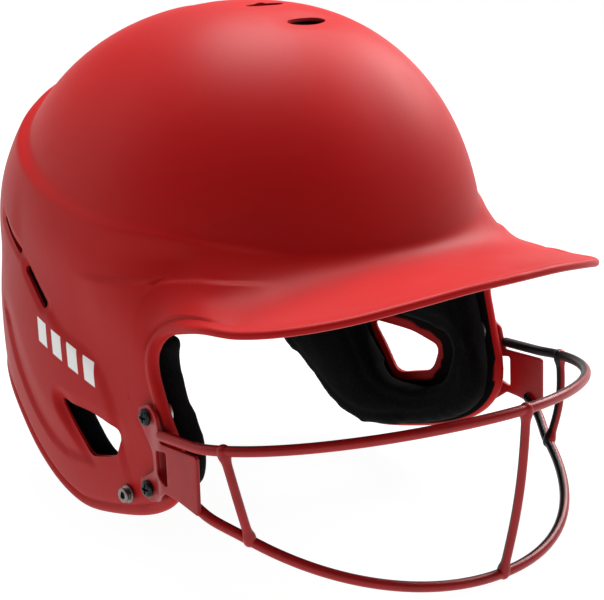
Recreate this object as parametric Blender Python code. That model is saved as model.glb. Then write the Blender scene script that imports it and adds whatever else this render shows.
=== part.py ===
"""Softball batting helmet with a bolted wire face guard, level as a standing wearer holds it.

Metres. +Z is up, the helmet faces -Y and the wearer's right is -X. The origin is the
centre of the wearer's head at brow level. Paired pieces are built for the right side and
mirrored in X for the left.
"""
import math

import bmesh
import bpy
import numpy as np
from mathutils import Vector

MM = 0.001

# Outer shell: one moulding, a superellipsoid dome over a skirt that becomes the ear flaps
HALF_WIDTH = 99.8 * MM
FRONT_LENGTH = 97.7 * MM
REAR_LENGTH = 133.3 * MM
DOME_HEIGHT = 118.0 * MM
CENTRE_Y = -9.2 * MM
CENTRE_Z = 4.4 * MM
PLAN_POWER = 2.17
DOME_POWER = 2.14
FLAP_PLAN_POWER = 5.0
FLAP_BLEND_TOP = 30.0 * MM
FLAP_BLEND_DEPTH = 50.0 * MM
SKIRT_DEPTH = 105.0 * MM
SKIRT_TUCK = 0.14
SHELL_WALL = 3.6 * MM
BAND_PROUD = 3.6 * MM
BAND_HEIGHT = 62.0 * MM
BAND_SPREAD = 26.0 * MM
AROUND = 64
DOME_ROWS = 11
SKIRT_ROWS = 7

# Rim of the face opening, the ear flaps and the nape, as (y, z) seen from the side
RIM = [(-150, 13), (-101, 12), (-92, 9.5), (-84, 6), (-76, 2), (-66, -0.5), (-60.5, -7), (-60.5, -16),
       (-63.5, -24), (-68, -36), (-73, -48), (-73, -59), (-67, -69), (-58, -77), (-44, -83.5), (-25, -89),
       (-2, -94), (12, -93.5), (27, -87.5), (42, -77), (56, -64.5), (72, -54), (98, -48), (150, -46)]

# Visor: its edge on the right side, from the temple round to the centre of the front
VISOR_EDGE = [(-95.6, -57, 0.5), (-98.5, -66, 1), (-100.5, -76, 5), (-103, -93, 10.5), (-99.5, -111, 11.5),
              (-90.5, -128.5, 14.5), (-73.5, -145, 19), (-51.5, -157, 24), (-26, -164, 27.5), (0, -166.5, 28.5)]
VISOR_ROOT_FRONT = 19.5 * MM
VISOR_ROOT_TEMPLE = 5.0 * MM
VISOR_THICKNESS = 4.0 * MM
VISOR_ROOT_SINK = 1.8 * MM
VISOR_CROWN = 2.0 * MM
VISOR_COLUMNS = 36
VISOR_ROWS = 5

# Openings through the shell, as (y, z) corners seen from the side, and (x, y) from above
EAR_HOLE = [(13, -43), (-14, -43.5), (-33, -47.5), (-30, -60), (-7, -66)]
EAR_HOLE_CORNER = 4.0 * MM
REAR_SLITS = [((62, 26.3), (43, 16), 2.6), ((35, 9), (19.5, -3), 3.6)]
CROWN_VENTS = [(0, -41), (0, -14), (0, 22)]
VENT_HALF = (10.5 * MM, 3.6 * MM)

# Foam liner
PAD_OUTER = 4.5 * MM
PAD_THICKNESS = 11.0 * MM
EAR_PAD_THICKNESS = 9.5 * MM
EAR_PAD = [(-58.5, -1), (-56.5, -14), (-63.5, -35), (-69, -49), (-69, -57.5), (-63, -66), (-54, -73.5),
           (-40, -79.5), (-22, -85), (-2, -90), (11, -89.5), (25, -84), (40, -73.5), (54, -61), (62, -52),
           (60, -16), (20, -10), (-20, -6)]
EAR_PAD_HOLE = [(17, -36), (-16, -35), (-43, -39), (-41, -57), (-27, -64), (-6, -65)]
EAR_PAD_HOLE_CORNER = 7.0 * MM
SIDE_PAD = [(-56, 5), (-50, 32), (-10, 42), (40, 44), (62, 30), (60, -9), (20, -4), (-20, 1)]
FRONT_PAD = [(-58, 8), (-50, 56), (50, 56), (58, 8)]
REAR_PAD = [(-48, -42), (-52, 52), (52, 52), (48, -42)]
PAD_CORNER = 8.0 * MM
CROWN_PAD_RADII = (58.0 * MM, 66.0 * MM)
CROWN_PAD_CENTRE_Y = 2.0 * MM
CROWN_PAD_FLOOR = 66.0 * MM
PAD_VENT_MARGIN = 2.0 * MM
CUTTER_TOP = 140.0 * MM
CUTTER_SIDE = 120.0 * MM
POCKET_MARGIN = 0.8 * MM

# Face guard: round steel wires between two sheet side plates
WIRE_RADIUS = 2.2 * MM
UPRIGHT_RADIUS = 1.9 * MM
UPPER_WIRE_TAIL = (-102.7 * MM, -68.0 * MM, -39.6 * MM)
WELD_GAP = 1.7 * MM
UPPER_WIRE = {"half_width": 102.3, "start_y": -90.2, "reach": 80.2, "power": 1.74, "lift": (-39.3, 8.9, 4.4, 0.0)}
LOWER_WIRE = {"half_width": 101.1, "start_y": -58.1, "reach": 102.6, "power": 2.06, "lift": (-53.6, -47.0, -2.8, 5.0)}
LOWER_WIRE_START = math.radians(19.5)
SIDE_UPRIGHT_UPPER = math.radians(12.0)
SIDE_UPRIGHT_LOWER = math.radians(27.9)
WIRE_POINTS = 36
MIDDLE_UPRIGHT_BOW = (0, -2.5 * MM, 0)
SIDE_UPRIGHT_BOW = 1.5 * MM
SIDE_UPRIGHT_LEAN = 2.0 * MM
PLATE_BEND_START = 57 * MM
PLATE_BEND_LENGTH = 12 * MM

# Where the cutters and the pads' blanks start and stop
HOLE_START = 70 * MM
EAR_CUT_START = 60 * MM
VENT_START = 60 * MM
PAD_VENT_START = 50 * MM
SIDE_PAD_START = 45 * MM
FRONT_PAD_SPAN = (-130 * MM, -40 * MM)
REAR_PAD_SPAN = (50 * MM, 140 * MM)
PLATE_THICKNESS = 1.8 * MM
PLATE = [(-52, -31.5), (-59.5, -28.5), (-65, -32.5), (-68, -43), (-91, -42.9), (-92, -67.5), (-78, -64.2),
         (-70, -63.4), (-60.5, -71), (-53, -73.2), (-47.5, -69.5), (-48, -64), (-53.5, -61),
         (-58.5, -57.7), (-58.7, -49.5), (-52.5, -38.5)]
PLATE_WINDOW = [(-62.8, -47.3), (-71.5, -45.8), (-72.3, -60.6), (-63, -57)]
PLATE_X = 103.4 * MM
PLATE_TAB_X = 99.9 * MM
PLATE_TAB_SLOPE = 0.105
PLATE_CORNER = 1.6 * MM

# Fasteners, all with their axes along X
SCREW_PLACES = {"upper": (-57.5, -34.5), "lower": (-53.5, -67.0)}
SCREW_HEAD_RADIUS = 3.6 * MM
SCREW_HEAD_HEIGHT = 1.8 * MM
SCREW_SHANK_RADIUS = 1.9 * MM
SCREW_LENGTH = 11.0 * MM
SCREW_HOLE_RADIUS = 2.4 * MM
NUT_FLANGE_RADIUS = 6.0 * MM
NUT_BORE_RADIUS = 2.0 * MM
POCKET_DEPTH = 8.0 * MM
STUD_PLACE = (-34.5, -75.5)
STUD_RADIUS = 3.9 * MM
STUD_HOLE_RADIUS = 2.2 * MM
STUD_WASHER_RADIUS = 4.6 * MM
TOUCH_GAP = 0.3 * MM
ROUND_SIDES = 20

COLOURS = {
    "shell": ((0.50, 0.012, 0.014, 1.0), 0.45, 0.0),
    "foam": ((0.012, 0.012, 0.013, 1.0), 0.95, 0.0),
    "guard": ((0.47, 0.012, 0.014, 1.0), 0.4, 0.0),
    "screw": ((0.02, 0.02, 0.022, 1.0), 0.4, 0.9),
    "steel": ((0.6, 0.6, 0.6, 1.0), 0.25, 1.0),
}


def clear_scene():
    """Empty the scene."""
    for obj in list(bpy.data.objects):
        bpy.data.objects.remove(obj, do_unlink=True)


def material(name):
    """The finish of this name, made once and shared."""
    found = bpy.data.materials.get(name)
    if found:
        return found
    colour, roughness, metallic = COLOURS[name]
    made = bpy.data.materials.new(name)
    made.use_nodes = True
    shader = made.node_tree.nodes["Principled BSDF"]
    shader.inputs["Base Color"].default_value = colour
    shader.inputs["Roughness"].default_value = roughness
    shader.inputs["Metallic"].default_value = metallic
    return made


def add_object(name, verts, faces, finish):
    """Put a mesh of these points and faces into the scene under a name, with a finish."""
    mesh = bpy.data.meshes.new(name)
    mesh.from_pydata([tuple(v) for v in verts], [], faces)
    bm = bmesh.new()
    bm.from_mesh(mesh)
    bmesh.ops.recalc_face_normals(bm, faces=bm.faces)
    bm.to_mesh(mesh)
    bm.free()
    mesh.shade_smooth()
    mesh.set_sharp_from_angle(angle=math.radians(35))
    mesh.materials.append(material(finish))
    obj = bpy.data.objects.new(name, mesh)
    bpy.context.scene.collection.objects.link(obj)
    return obj


def smoothstep(x):
    """Rise from 0 to 1 with level ends."""
    x = np.clip(x, 0.0, 1.0)
    return x * x * (3.0 - 2.0 * x)


def smooth_line(points, per_span, closed=False):
    """Catmull-Rom curve through the points, per_span steps to each span."""
    pts = np.array(points, dtype=float)
    if closed:
        pts = np.vstack([pts[-1], pts, pts[0], pts[1]])
    else:
        pts = np.vstack([2 * pts[0] - pts[1], pts, 2 * pts[-1] - pts[-2]])
    t = np.linspace(0.0, 1.0, per_span, endpoint=False)[:, None]
    spans = []
    for a, b, c, d in zip(pts[:-3], pts[1:-2], pts[2:-1], pts[3:]):
        spans.append(0.5 * (2 * b + (c - a) * t + (2 * a - 5 * b + 4 * c - d) * t ** 2
                            + (3 * b - a - 3 * c + d) * t ** 3))
    if not closed:
        spans.append(pts[-2:-1])
    return np.vstack(spans)


def rounded(corners, radius, steps=4):
    """Closed outline with each corner replaced by a short curve that starts radius before it."""
    pts = np.array(corners, dtype=float) * MM
    out = []
    for before, corner, after in zip(np.roll(pts, 1, 0), pts, np.roll(pts, -1, 0)):
        into = before - corner
        away = after - corner
        into = into / np.linalg.norm(into) * min(radius, 0.45 * np.linalg.norm(into))
        away = away / np.linalg.norm(away) * min(radius, 0.45 * np.linalg.norm(away))
        for t in np.linspace(0.0, 1.0, steps + 1):
            out.append(corner + into * (1 - t) ** 2 + away * t ** 2)
    return np.array(out)


def wall(azimuth, z, inset=0.0):
    """Points of the shell's surface at an azimuth round +Z from +X and a height z, set inwards."""
    rise = np.clip((z - CENTRE_Z) / (DOME_HEIGHT - inset), 0.0, 1.0)
    ring = (1.0 - rise ** DOME_POWER) ** (1.0 / DOME_POWER)
    drop = np.clip((CENTRE_Z - z) / SKIRT_DEPTH, 0.0, 1.2)
    front = np.sin(azimuth) < 0.0
    ring = ring * (1.0 - SKIRT_TUCK * drop ** 3)
    flap = smoothstep((FLAP_BLEND_TOP - z) / FLAP_BLEND_DEPTH)
    power = np.where(front, PLAN_POWER + (FLAP_PLAN_POWER - PLAN_POWER) * flap, PLAN_POWER + 0.15 * flap)
    cos, sin = np.cos(azimuth), np.sin(azimuth)
    length = np.where(front, FRONT_LENGTH, REAR_LENGTH) - inset
    scale = (np.abs(cos) ** power + np.abs(sin) ** power) ** (-1.0 / power)
    band = BAND_PROUD * np.exp(-((z - BAND_HEIGHT) / BAND_SPREAD) ** 2) * smoothstep(sin * 1.4 + 0.1)
    x = cos * scale * ((HALF_WIDTH - inset) * ring + band)
    y = CENTRE_Y + sin * scale * (length * ring + band)
    return np.stack([x, y, z + 0.0 * x], -1)


def blank_rows(inset):
    """Heights from just under the crown down to the skirt's lower edge."""
    angles = np.linspace(math.radians(82), 0.0, DOME_ROWS)
    dome = CENTRE_Z + (DOME_HEIGHT - inset) * np.sin(angles) ** (2.0 / DOME_POWER)
    skirt = np.linspace(CENTRE_Z, CENTRE_Z - SKIRT_DEPTH, SKIRT_ROWS + 1)[1:]
    return np.concatenate([dome, skirt])


def blank(name, outer_inset, inner_inset, finish):
    """Closed cup between two insets of the shell surface, open below."""
    azimuth = np.arange(AROUND) * (2 * math.pi / AROUND)
    rings = [wall(azimuth, z, outer_inset) for z in blank_rows(outer_inset)]
    rings += [wall(azimuth, z, inner_inset) for z in reversed(blank_rows(inner_inset))]
    verts = np.vstack(rings)
    top = [0.0, CENTRE_Y, CENTRE_Z + DOME_HEIGHT]
    verts = np.vstack([verts, np.array(top) - [0, 0, outer_inset], np.array(top) - [0, 0, inner_inset]])
    faces = []
    for row in range(len(rings) - 1):
        for col in range(AROUND):
            nxt = (col + 1) % AROUND
            a, b = row * AROUND, (row + 1) * AROUND
            faces.append((a + col, b + col, b + nxt, a + nxt))
    last = (len(rings) - 1) * AROUND
    for col in range(AROUND):
        nxt = (col + 1) % AROUND
        faces.append((len(verts) - 2, col, nxt))
        faces.append((len(verts) - 1, last + nxt, last + col))
    return add_object(name, verts, faces, finish)


def prism(name, outline, axis, low, high, finish="shell"):
    """Closed prism: a 2-D outline carried along axis from low to high."""
    count = len(outline)
    verts = []
    for level in (low, high):
        for a, b in outline:
            verts.append({"X": (level, a, b), "Y": (a, level, b), "Z": (a, b, level)}[axis])
    faces = [tuple(range(count)), tuple(range(2 * count - 1, count - 1, -1))]
    for i in range(count):
        j = (i + 1) % count
        faces.append((i, j, count + j, count + i))
    return add_object(name, verts, faces, finish)


def combine(obj, cutter, operation, solver="EXACT"):
    """Apply a Boolean with the cutter and remove the cutter."""
    modifier = obj.modifiers.new(operation, "BOOLEAN")
    modifier.operation = operation
    modifier.solver = solver
    modifier.object = cutter
    graph = bpy.context.evaluated_depsgraph_get()
    result = bpy.data.meshes.new_from_object(obj.evaluated_get(graph))
    obj.modifiers.clear()
    obj.data = result
    bpy.data.objects.remove(cutter, do_unlink=True)
    tidy(obj)


def tidy(obj):
    """Join points a Boolean leaves closer than a hundredth of a millimetre, and drop slivers."""
    bm = bmesh.new()
    bm.from_mesh(obj.data)
    bmesh.ops.remove_doubles(bm, verts=bm.verts, dist=1e-5)
    bmesh.ops.dissolve_degenerate(bm, edges=bm.edges, dist=1e-6)
    bmesh.ops.triangulate(bm, faces=bm.faces)
    bm.to_mesh(obj.data)
    bm.free()
    obj.data.shade_smooth()
    obj.data.set_sharp_from_angle(angle=math.radians(35))


def turned(name, profile, centre, side, finish, sides=ROUND_SIDES):
    """Solid of revolution about X. The profile is (distance outwards along X, radius) from end to end."""
    verts, faces = [], []
    x0, y0, z0 = centre
    for along, radius in profile:
        if radius <= 0.0:
            verts.append([(x0 + side * along, y0, z0)])
            continue
        ring = []
        for k in range(sides):
            angle = 2 * math.pi * k / sides
            ring.append((x0 + side * along, y0 + radius * math.cos(angle), z0 + radius * math.sin(angle)))
        verts.append(ring)
    flat, starts = [], []
    for ring in verts:
        starts.append(len(flat))
        flat += ring
    for i in range(len(verts) - 1):
        a, b = starts[i], starts[i + 1]
        for k in range(sides):
            n = (k + 1) % sides
            if len(verts[i]) == 1:
                faces.append((a, b + k, b + n))
            elif len(verts[i + 1]) == 1:
                faces.append((a + k, b, a + n))
            else:
                faces.append((a + k, b + k, b + n, a + n))
    if len(verts[0]) > 1 and profile[0] == profile[-1]:
        raise ValueError("a ring profile is closed by turned_ring")
    return add_object(name, flat, faces, finish)


def turned_ring(name, profile, centre, side, finish, sides=ROUND_SIDES):
    """Ring of revolution about X from a closed profile of (distance outwards, radius) points."""
    verts, faces = [], []
    x0, y0, z0 = centre
    for along, radius in profile:
        for k in range(sides):
            angle = 2 * math.pi * k / sides
            verts.append((x0 + side * along, y0 + radius * math.cos(angle), z0 + radius * math.sin(angle)))
    rows = len(profile)
    for i in range(rows):
        a, b = i * sides, ((i + 1) % rows) * sides
        for k in range(sides):
            n = (k + 1) % sides
            faces.append((a + k, b + k, b + n, a + n))
    return add_object(name, verts, faces, finish)


def rim_cutter():
    """Everything in front of and below the rim line, carried across the helmet."""
    line = smooth_line(RIM[1:-1], 3)
    line = np.vstack([[RIM[0]], line, [RIM[-1]]]) * MM
    box = np.array([(150, -160), (-150, -160)]) * MM
    return prism("rim_cutter", np.vstack([line, box]), "X", -150 * MM, 150 * MM)


def visor():
    """Brim between its root, just inside the dome's surface, and its edge; one closed slab."""
    right = smooth_line(VISOR_EDGE, 6) * MM
    left = right[:-1][::-1] * [-1, 1, 1]
    edge = np.vstack([right, left])
    lengths = np.concatenate([[0], np.cumsum(np.linalg.norm(np.diff(edge, axis=0), axis=1))])
    at = np.linspace(0, lengths[-1], VISOR_COLUMNS)
    edge = np.stack([np.interp(at, lengths, edge[:, k]) for k in range(3)], -1)
    across = at / lengths[-1]
    swing = math.radians(146) * np.sign(across - 0.5) * np.abs(2 * across - 1) ** 1.1 * 0.5
    azimuth = -0.5 * math.pi + swing
    middle = np.cos(np.pi * (across - 0.5)) ** 0.9
    root_z = VISOR_ROOT_TEMPLE + (VISOR_ROOT_FRONT - VISOR_ROOT_TEMPLE) * middle
    v = np.linspace(0.0, 1.0, VISOR_ROWS)[:, None, None]
    crown = VISOR_CROWN * np.sin(math.pi * v) * [0, 0, 1]
    below = [0, 0, VISOR_THICKNESS]
    top_root = wall(azimuth, root_z, VISOR_ROOT_SINK)
    bottom_root = wall(azimuth, root_z - VISOR_THICKNESS, VISOR_ROOT_SINK)
    top = top_root * (1 - v) + edge * v + crown
    bottom = bottom_root * (1 - v) + (edge - below) * v + crown
    verts = np.concatenate([top.reshape(-1, 3), bottom.reshape(-1, 3)])
    cols, half = VISOR_COLUMNS, VISOR_ROWS * VISOR_COLUMNS
    faces = []
    for r in range(VISOR_ROWS - 1):
        for c in range(cols - 1):
            a = r * cols + c
            faces.append((a, a + 1, a + cols + 1, a + cols))
            faces.append((half + a, half + a + cols, half + a + cols + 1, half + a + 1))
    for c in range(cols - 1):
        faces.append((c, half + c, half + c + 1, c + 1))
        a = (VISOR_ROWS - 1) * cols + c
        faces.append((a, a + 1, half + a + 1, half + a))
    for r in range(VISOR_ROWS - 1):
        a = r * cols
        faces.append((a, a + cols, half + a + cols, half + a))
        b = a + cols - 1
        faces.append((b, half + b, half + b + cols, b + cols))
    return add_object("visor", verts, faces, "shell")


def side_range(side, near, far):
    """Span in X between two distances from the centre plane, lowest first."""
    return (near, far) if side > 0 else (-far, -near)


def slot_outline(start, end, width, steps=6):
    """Round-ended slot between two points of a side view."""
    a, b = np.array(start, float) * MM, np.array(end, float) * MM
    along = (b - a) / np.linalg.norm(b - a)
    across = np.array([-along[1], along[0]])
    half = 0.5 * width * MM
    out = []
    for centre, sign in ((b, 1.0), (a, -1.0)):
        for t in np.linspace(-0.5 * math.pi, 0.5 * math.pi, steps + 1):
            out.append(centre + sign * half * (along * math.cos(t) + across * math.sin(t)))
    return np.array(out)


def oval(centre, radii, steps=12):
    """Closed ellipse about a centre."""
    return [(centre[0] + radii[0] * math.cos(t), centre[1] + radii[1] * math.sin(t))
            for t in np.arange(steps) * (2 * math.pi / steps)]


def cut_fastener_holes(obj, radius_by_place, side):
    """Round holes through one side of the shell, each at its own place."""
    for (y, z), radius in radius_by_place:
        low, high = side_range(side, HOLE_START, CUTTER_SIDE)
        hole = prism("hole", oval((y * MM, z * MM), (radius, radius), 16), "X", low, high)
        combine(obj, hole, "DIFFERENCE")


def make_shell():
    """Moulded shell: the blank cut at the rim, joined to the visor, with all its holes."""
    shell = blank("shell", 0.0, SHELL_WALL, "shell")
    combine(shell, rim_cutter(), "DIFFERENCE")
    combine(shell, visor(), "UNION", "MANIFOLD")
    for side in (-1, 1):
        low, high = side_range(side, EAR_CUT_START, CUTTER_SIDE)
        combine(shell, prism("ear", rounded(EAR_HOLE, EAR_HOLE_CORNER), "X", low, high), "DIFFERENCE")
        for start, end, width in REAR_SLITS:
            combine(shell, prism("slit", slot_outline(start, end, width), "X", low, high), "DIFFERENCE")
        places = [(place, SCREW_HOLE_RADIUS) for place in SCREW_PLACES.values()]
        places.append((STUD_PLACE, STUD_HOLE_RADIUS))
        cut_fastener_holes(shell, places, side)
    for x, y in CROWN_VENTS:
        vent = prism("vent", oval((x * MM, y * MM), VENT_HALF), "Z", VENT_START, CUTTER_TOP)
        combine(shell, vent, "DIFFERENCE")
    return shell


def pad_from(name, outline, axis, low, high, thickness=PAD_THICKNESS):
    """Piece of the liner blank that lies inside an outline carried along an axis."""
    pad = blank(name, PAD_OUTER, PAD_OUTER + thickness, "foam")
    combine(pad, prism("outline", outline, axis, low, high), "INTERSECT")
    return pad


def make_pads():
    """The seven foam pads of the liner."""
    pad_from("front_pad", rounded(FRONT_PAD, PAD_CORNER), "Y", *FRONT_PAD_SPAN)
    pad_from("rear_pad", rounded(REAR_PAD, PAD_CORNER), "Y", *REAR_PAD_SPAN)
    outline = oval((0.0, CROWN_PAD_CENTRE_Y), CROWN_PAD_RADII, 32)
    crown = pad_from("crown_pad", outline, "Z", CROWN_PAD_FLOOR, CUTTER_TOP)
    for x, y in CROWN_VENTS:
        radii = (VENT_HALF[0] + PAD_VENT_MARGIN, VENT_HALF[1] + PAD_VENT_MARGIN)
        vent = prism("vent", oval((x * MM, y * MM), radii), "Z", PAD_VENT_START, CUTTER_TOP)
        combine(crown, vent, "DIFFERENCE")
    for side, label in ((-1, "right"), (1, "left")):
        low, high = side_range(side, SIDE_PAD_START, CUTTER_SIDE)
        pad_from(f"{label}_side_pad", rounded(SIDE_PAD, PAD_CORNER), "X", low, high)
        outline = smooth_line(EAR_PAD, 2, closed=True) * MM
        ear = pad_from(f"{label}_ear_pad", outline, "X", low, high, EAR_PAD_THICKNESS)
        hole = prism("hole", rounded(EAR_PAD_HOLE, EAR_PAD_HOLE_CORNER), "X", low, high)
        combine(ear, hole, "DIFFERENCE")
        for place in list(SCREW_PLACES.values()) + [STUD_PLACE]:
            centre = (place[0] * MM, place[1] * MM)
            floor = shell_x(*centre) - SHELL_WALL - POCKET_DEPTH
            low, high = side_range(side, floor, CUTTER_SIDE)
            radii = (NUT_FLANGE_RADIUS + POCKET_MARGIN, NUT_FLANGE_RADIUS + POCKET_MARGIN)
            combine(ear, prism("pocket", oval(centre, radii, 16), "X", low, high), "DIFFERENCE")


def wire_point(wire, angle):
    """Point of a guard wire at an angle from its right end, a superellipse in plan."""
    cos, sin = np.cos(angle), np.sin(angle)
    power = 2.0 / wire["power"]
    x = -wire["half_width"] * np.sign(cos) * np.abs(cos) ** power
    u = np.abs(sin) ** power
    lift = wire["lift"]
    z = lift[0] + lift[1] * u + lift[2] * u ** 2 + lift[3] * u ** 3
    return np.stack([x, wire["start_y"] - wire["reach"] * u, z], -1) * MM


def tube(name, points, radius, finish="guard", resolution=2):
    """Round wire along a line of points, closed at both ends."""
    curve = bpy.data.curves.new(name, "CURVE")
    curve.dimensions = "3D"
    curve.bevel_depth = radius
    curve.bevel_resolution = resolution
    curve.use_fill_caps = True
    spline = curve.splines.new("POLY")
    spline.points.add(len(points) - 1)
    for slot, point in zip(spline.points, points):
        slot.co = (*point, 1.0)
    curve.materials.append(material(finish))
    obj = bpy.data.objects.new(name, curve)
    bpy.context.scene.collection.objects.link(obj)
    return obj


def upright(name, top, bottom, bow):
    """Rod between the two wires, stopped a weld gap short of each, bowed forwards."""
    top, bottom = Vector(top), Vector(bottom)
    along = (bottom - top).normalized()
    top = top + along * (WIRE_RADIUS + WELD_GAP)
    bottom = bottom - along * (WIRE_RADIUS + WELD_GAP)
    points = []
    for t in np.linspace(0.0, 1.0, 9):
        point = top.lerp(bottom, t)
        point += Vector(bow) * math.sin(math.pi * t)
        points.append(point)
    return tube(name, points, UPRIGHT_RADIUS)


def make_guard():
    """The face guard: two wires, three uprights and two side plates."""
    angles = np.linspace(0.0, math.pi, WIRE_POINTS)
    tail = np.array(UPPER_WIRE_TAIL)
    ends = [tail, tail * [-1, 1, 1]]
    tube("upper_wire", np.vstack([ends[0], wire_point(UPPER_WIRE, angles), ends[1]]), WIRE_RADIUS)
    angles = np.linspace(LOWER_WIRE_START, math.pi - LOWER_WIRE_START, WIRE_POINTS)
    tube("lower_wire", wire_point(LOWER_WIRE, angles), WIRE_RADIUS)
    middle = 0.5 * math.pi
    upright("centre_upright", wire_point(UPPER_WIRE, middle), wire_point(LOWER_WIRE, middle), MIDDLE_UPRIGHT_BOW)
    for side, label in ((1, "right"), (-1, "left")):
        top = wire_point(UPPER_WIRE, SIDE_UPRIGHT_UPPER) * [side, 1, 1]
        bottom = wire_point(LOWER_WIRE, SIDE_UPRIGHT_LOWER) * [side, 1, 1]
        upright(f"{label}_upright", top, bottom, (-SIDE_UPRIGHT_BOW * side, -SIDE_UPRIGHT_LEAN, 0))
        make_side_plate(f"{label}_side_plate", -side)


def plate_x(y, z):
    """Distance of the side plate's inner face from the centre plane: its tabs lean in to the flap."""
    tab = PLATE_TAB_X - PLATE_TAB_SLOPE * (SCREW_PLACES["upper"][1] * MM - z)
    return tab + (PLATE_X - PLATE_THICKNESS - tab) * smoothstep((-y - PLATE_BEND_START) / PLATE_BEND_LENGTH)


def make_side_plate(name, side):
    """Bent sheet plate with a window and two screw holes."""
    outline = rounded(PLATE, PLATE_CORNER, 3)
    plate = prism(name, outline, "X", 0.0, PLATE_THICKNESS, "guard")
    window = prism("window", rounded(PLATE_WINDOW, 1.2 * MM, 3), "X", -1 * MM, PLATE_THICKNESS + 1 * MM)
    combine(plate, window, "DIFFERENCE")
    for y, z in SCREW_PLACES.values():
        hole = prism("hole", oval((y * MM, z * MM), (SCREW_HOLE_RADIUS, SCREW_HOLE_RADIUS), 16), "X",
                     -1 * MM, PLATE_THICKNESS + 1 * MM)
        combine(plate, hole, "DIFFERENCE")
    bm = bmesh.new()
    bm.from_mesh(plate.data)
    for y in np.arange(-70, -56, 3) * MM:
        everything = list(bm.verts) + list(bm.edges) + list(bm.faces)
        bmesh.ops.bisect_plane(bm, geom=everything, plane_co=(0, y, 0), plane_no=(0, 1, 0))
    for vert in bm.verts:
        x, y, z = vert.co
        vert.co.x = side * (plate_x(y, z) + x)
    bmesh.ops.triangulate(bm, faces=bm.faces)
    bmesh.ops.recalc_face_normals(bm, faces=bm.faces)
    bm.to_mesh(plate.data)
    bm.free()


def shell_x(y, z):
    """Distance of the shell's outer face from the centre plane at a point of the side view."""
    azimuth = np.linspace(-0.5 * math.pi, 0.5 * math.pi, 721)
    points = wall(azimuth, np.full_like(azimuth, z))
    return float(np.interp(y, points[:, 1], points[:, 0]))


def inner_seat(y, z, radius):
    """Distance from the centre plane at which a flat washer of this radius clears the shell's inner face."""
    nearest = min(shell_x(y + a * radius, z + b * radius) for a in (-1, 0, 1) for b in (-1, 0, 1))
    return nearest - SHELL_WALL - TOUCH_GAP


def make_fasteners(side, label):
    """Screws, nuts, stud and washer of one side."""
    for place, (y, z) in SCREW_PLACES.items():
        y, z = y * MM, z * MM
        seat = plate_x(y, z) + PLATE_THICKNESS + PLATE_TAB_SLOPE * SCREW_HEAD_RADIUS
        centre = (side * seat, y, z)
        make_screw(f"{label}_{place}_screw", centre, side)
        flange = inner_seat(y, z, NUT_FLANGE_RADIUS)
        profile = [(0.0, NUT_BORE_RADIUS + 0.1 * MM), (0.0, NUT_FLANGE_RADIUS), (-1.2 * MM, NUT_FLANGE_RADIUS),
                   (-1.2 * MM, 3.4 * MM), (-4.0 * MM, 3.4 * MM), (-4.0 * MM, NUT_BORE_RADIUS + 0.1 * MM)]
        turned_ring(f"{label}_{place}_nut", profile, (side * flange, y, z), side, "steel", 16)
    y, z = STUD_PLACE[0] * MM, STUD_PLACE[1] * MM
    outer = max(shell_x(y + dy, z + dz) for dy in (-4 * MM, 0, 4 * MM) for dz in (-4 * MM, 0, 4 * MM))
    make_stud(f"{label}_snap_stud", (side * (outer + TOUCH_GAP), y, z), side)
    inner = inner_seat(y, z, STUD_WASHER_RADIUS)
    profile = [(0.0, STUD_HOLE_RADIUS), (0.0, STUD_WASHER_RADIUS), (-1.0 * MM, STUD_WASHER_RADIUS),
               (-1.0 * MM, STUD_HOLE_RADIUS)]
    turned_ring(f"{label}_stud_washer", profile, (side * inner, y, z), side, "steel", 16)


def make_screw(name, centre, side):
    """Pan-head screw with a cross recess; its shank runs inwards from the seat."""
    head = SCREW_HEAD_RADIUS
    top = TOUCH_GAP + SCREW_HEAD_HEIGHT
    profile = [(top, 0.0), (top, 0.35 * head), (top - 0.25 * MM, 0.68 * head), (top - 1.0 * MM, 0.95 * head),
               (TOUCH_GAP + 0.4 * MM, head), (TOUCH_GAP, head), (TOUCH_GAP, SCREW_SHANK_RADIUS),
               (TOUCH_GAP - SCREW_LENGTH, SCREW_SHANK_RADIUS), (TOUCH_GAP - SCREW_LENGTH, 0.0)]
    screw = turned(name, profile, centre, side, "screw")
    low, high = sorted((centre[0] + side * (top - 1.4 * MM), centre[0] + side * (top + 1 * MM)))
    arm, half = 1.9 * MM, 0.45 * MM
    y, z = centre[1], centre[2]
    cross = [(half, arm), (half, half), (arm, half), (arm, -half), (half, -half), (half, -arm),
             (-half, -arm), (-half, -half), (-arm, -half), (-arm, half), (-half, half), (-half, arm)]
    combine(screw, prism("cross", [(y + a, z + b) for a, b in cross], "X", low, high), "DIFFERENCE")
    set_origin(screw, centre)
    return screw


def make_stud(name, centre, side):
    """Chin-strap snap stud: a flange, a waisted post, a flat head with a dimple and a rivet tail."""
    rim = STUD_RADIUS
    profile = [(2.6 * MM, 0.0), (2.6 * MM, 1.1 * MM), (3.4 * MM, 1.5 * MM), (3.4 * MM, 2.9 * MM),
               (3.0 * MM, 3.3 * MM), (2.3 * MM, 3.1 * MM), (1.6 * MM, 2.6 * MM), (1.2 * MM, 2.6 * MM),
               (1.0 * MM, rim), (0.0, rim), (0.0, 1.8 * MM), (-7.0 * MM, 1.8 * MM), (-7.0 * MM, 0.0)]
    return turned(name, profile, centre, side, "steel")


def set_origin(obj, point):
    """Move an object's origin to a point without moving its surface."""
    for vert in obj.data.vertices:
        vert.co = vert.co - Vector(point)
    obj.location = point


def main():
    """Build every piece."""
    clear_scene()
    make_shell()
    make_pads()
    make_guard()
    for side, label in ((-1, "right"), (1, "left")):
        make_fasteners(side, label)


main()
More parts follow.
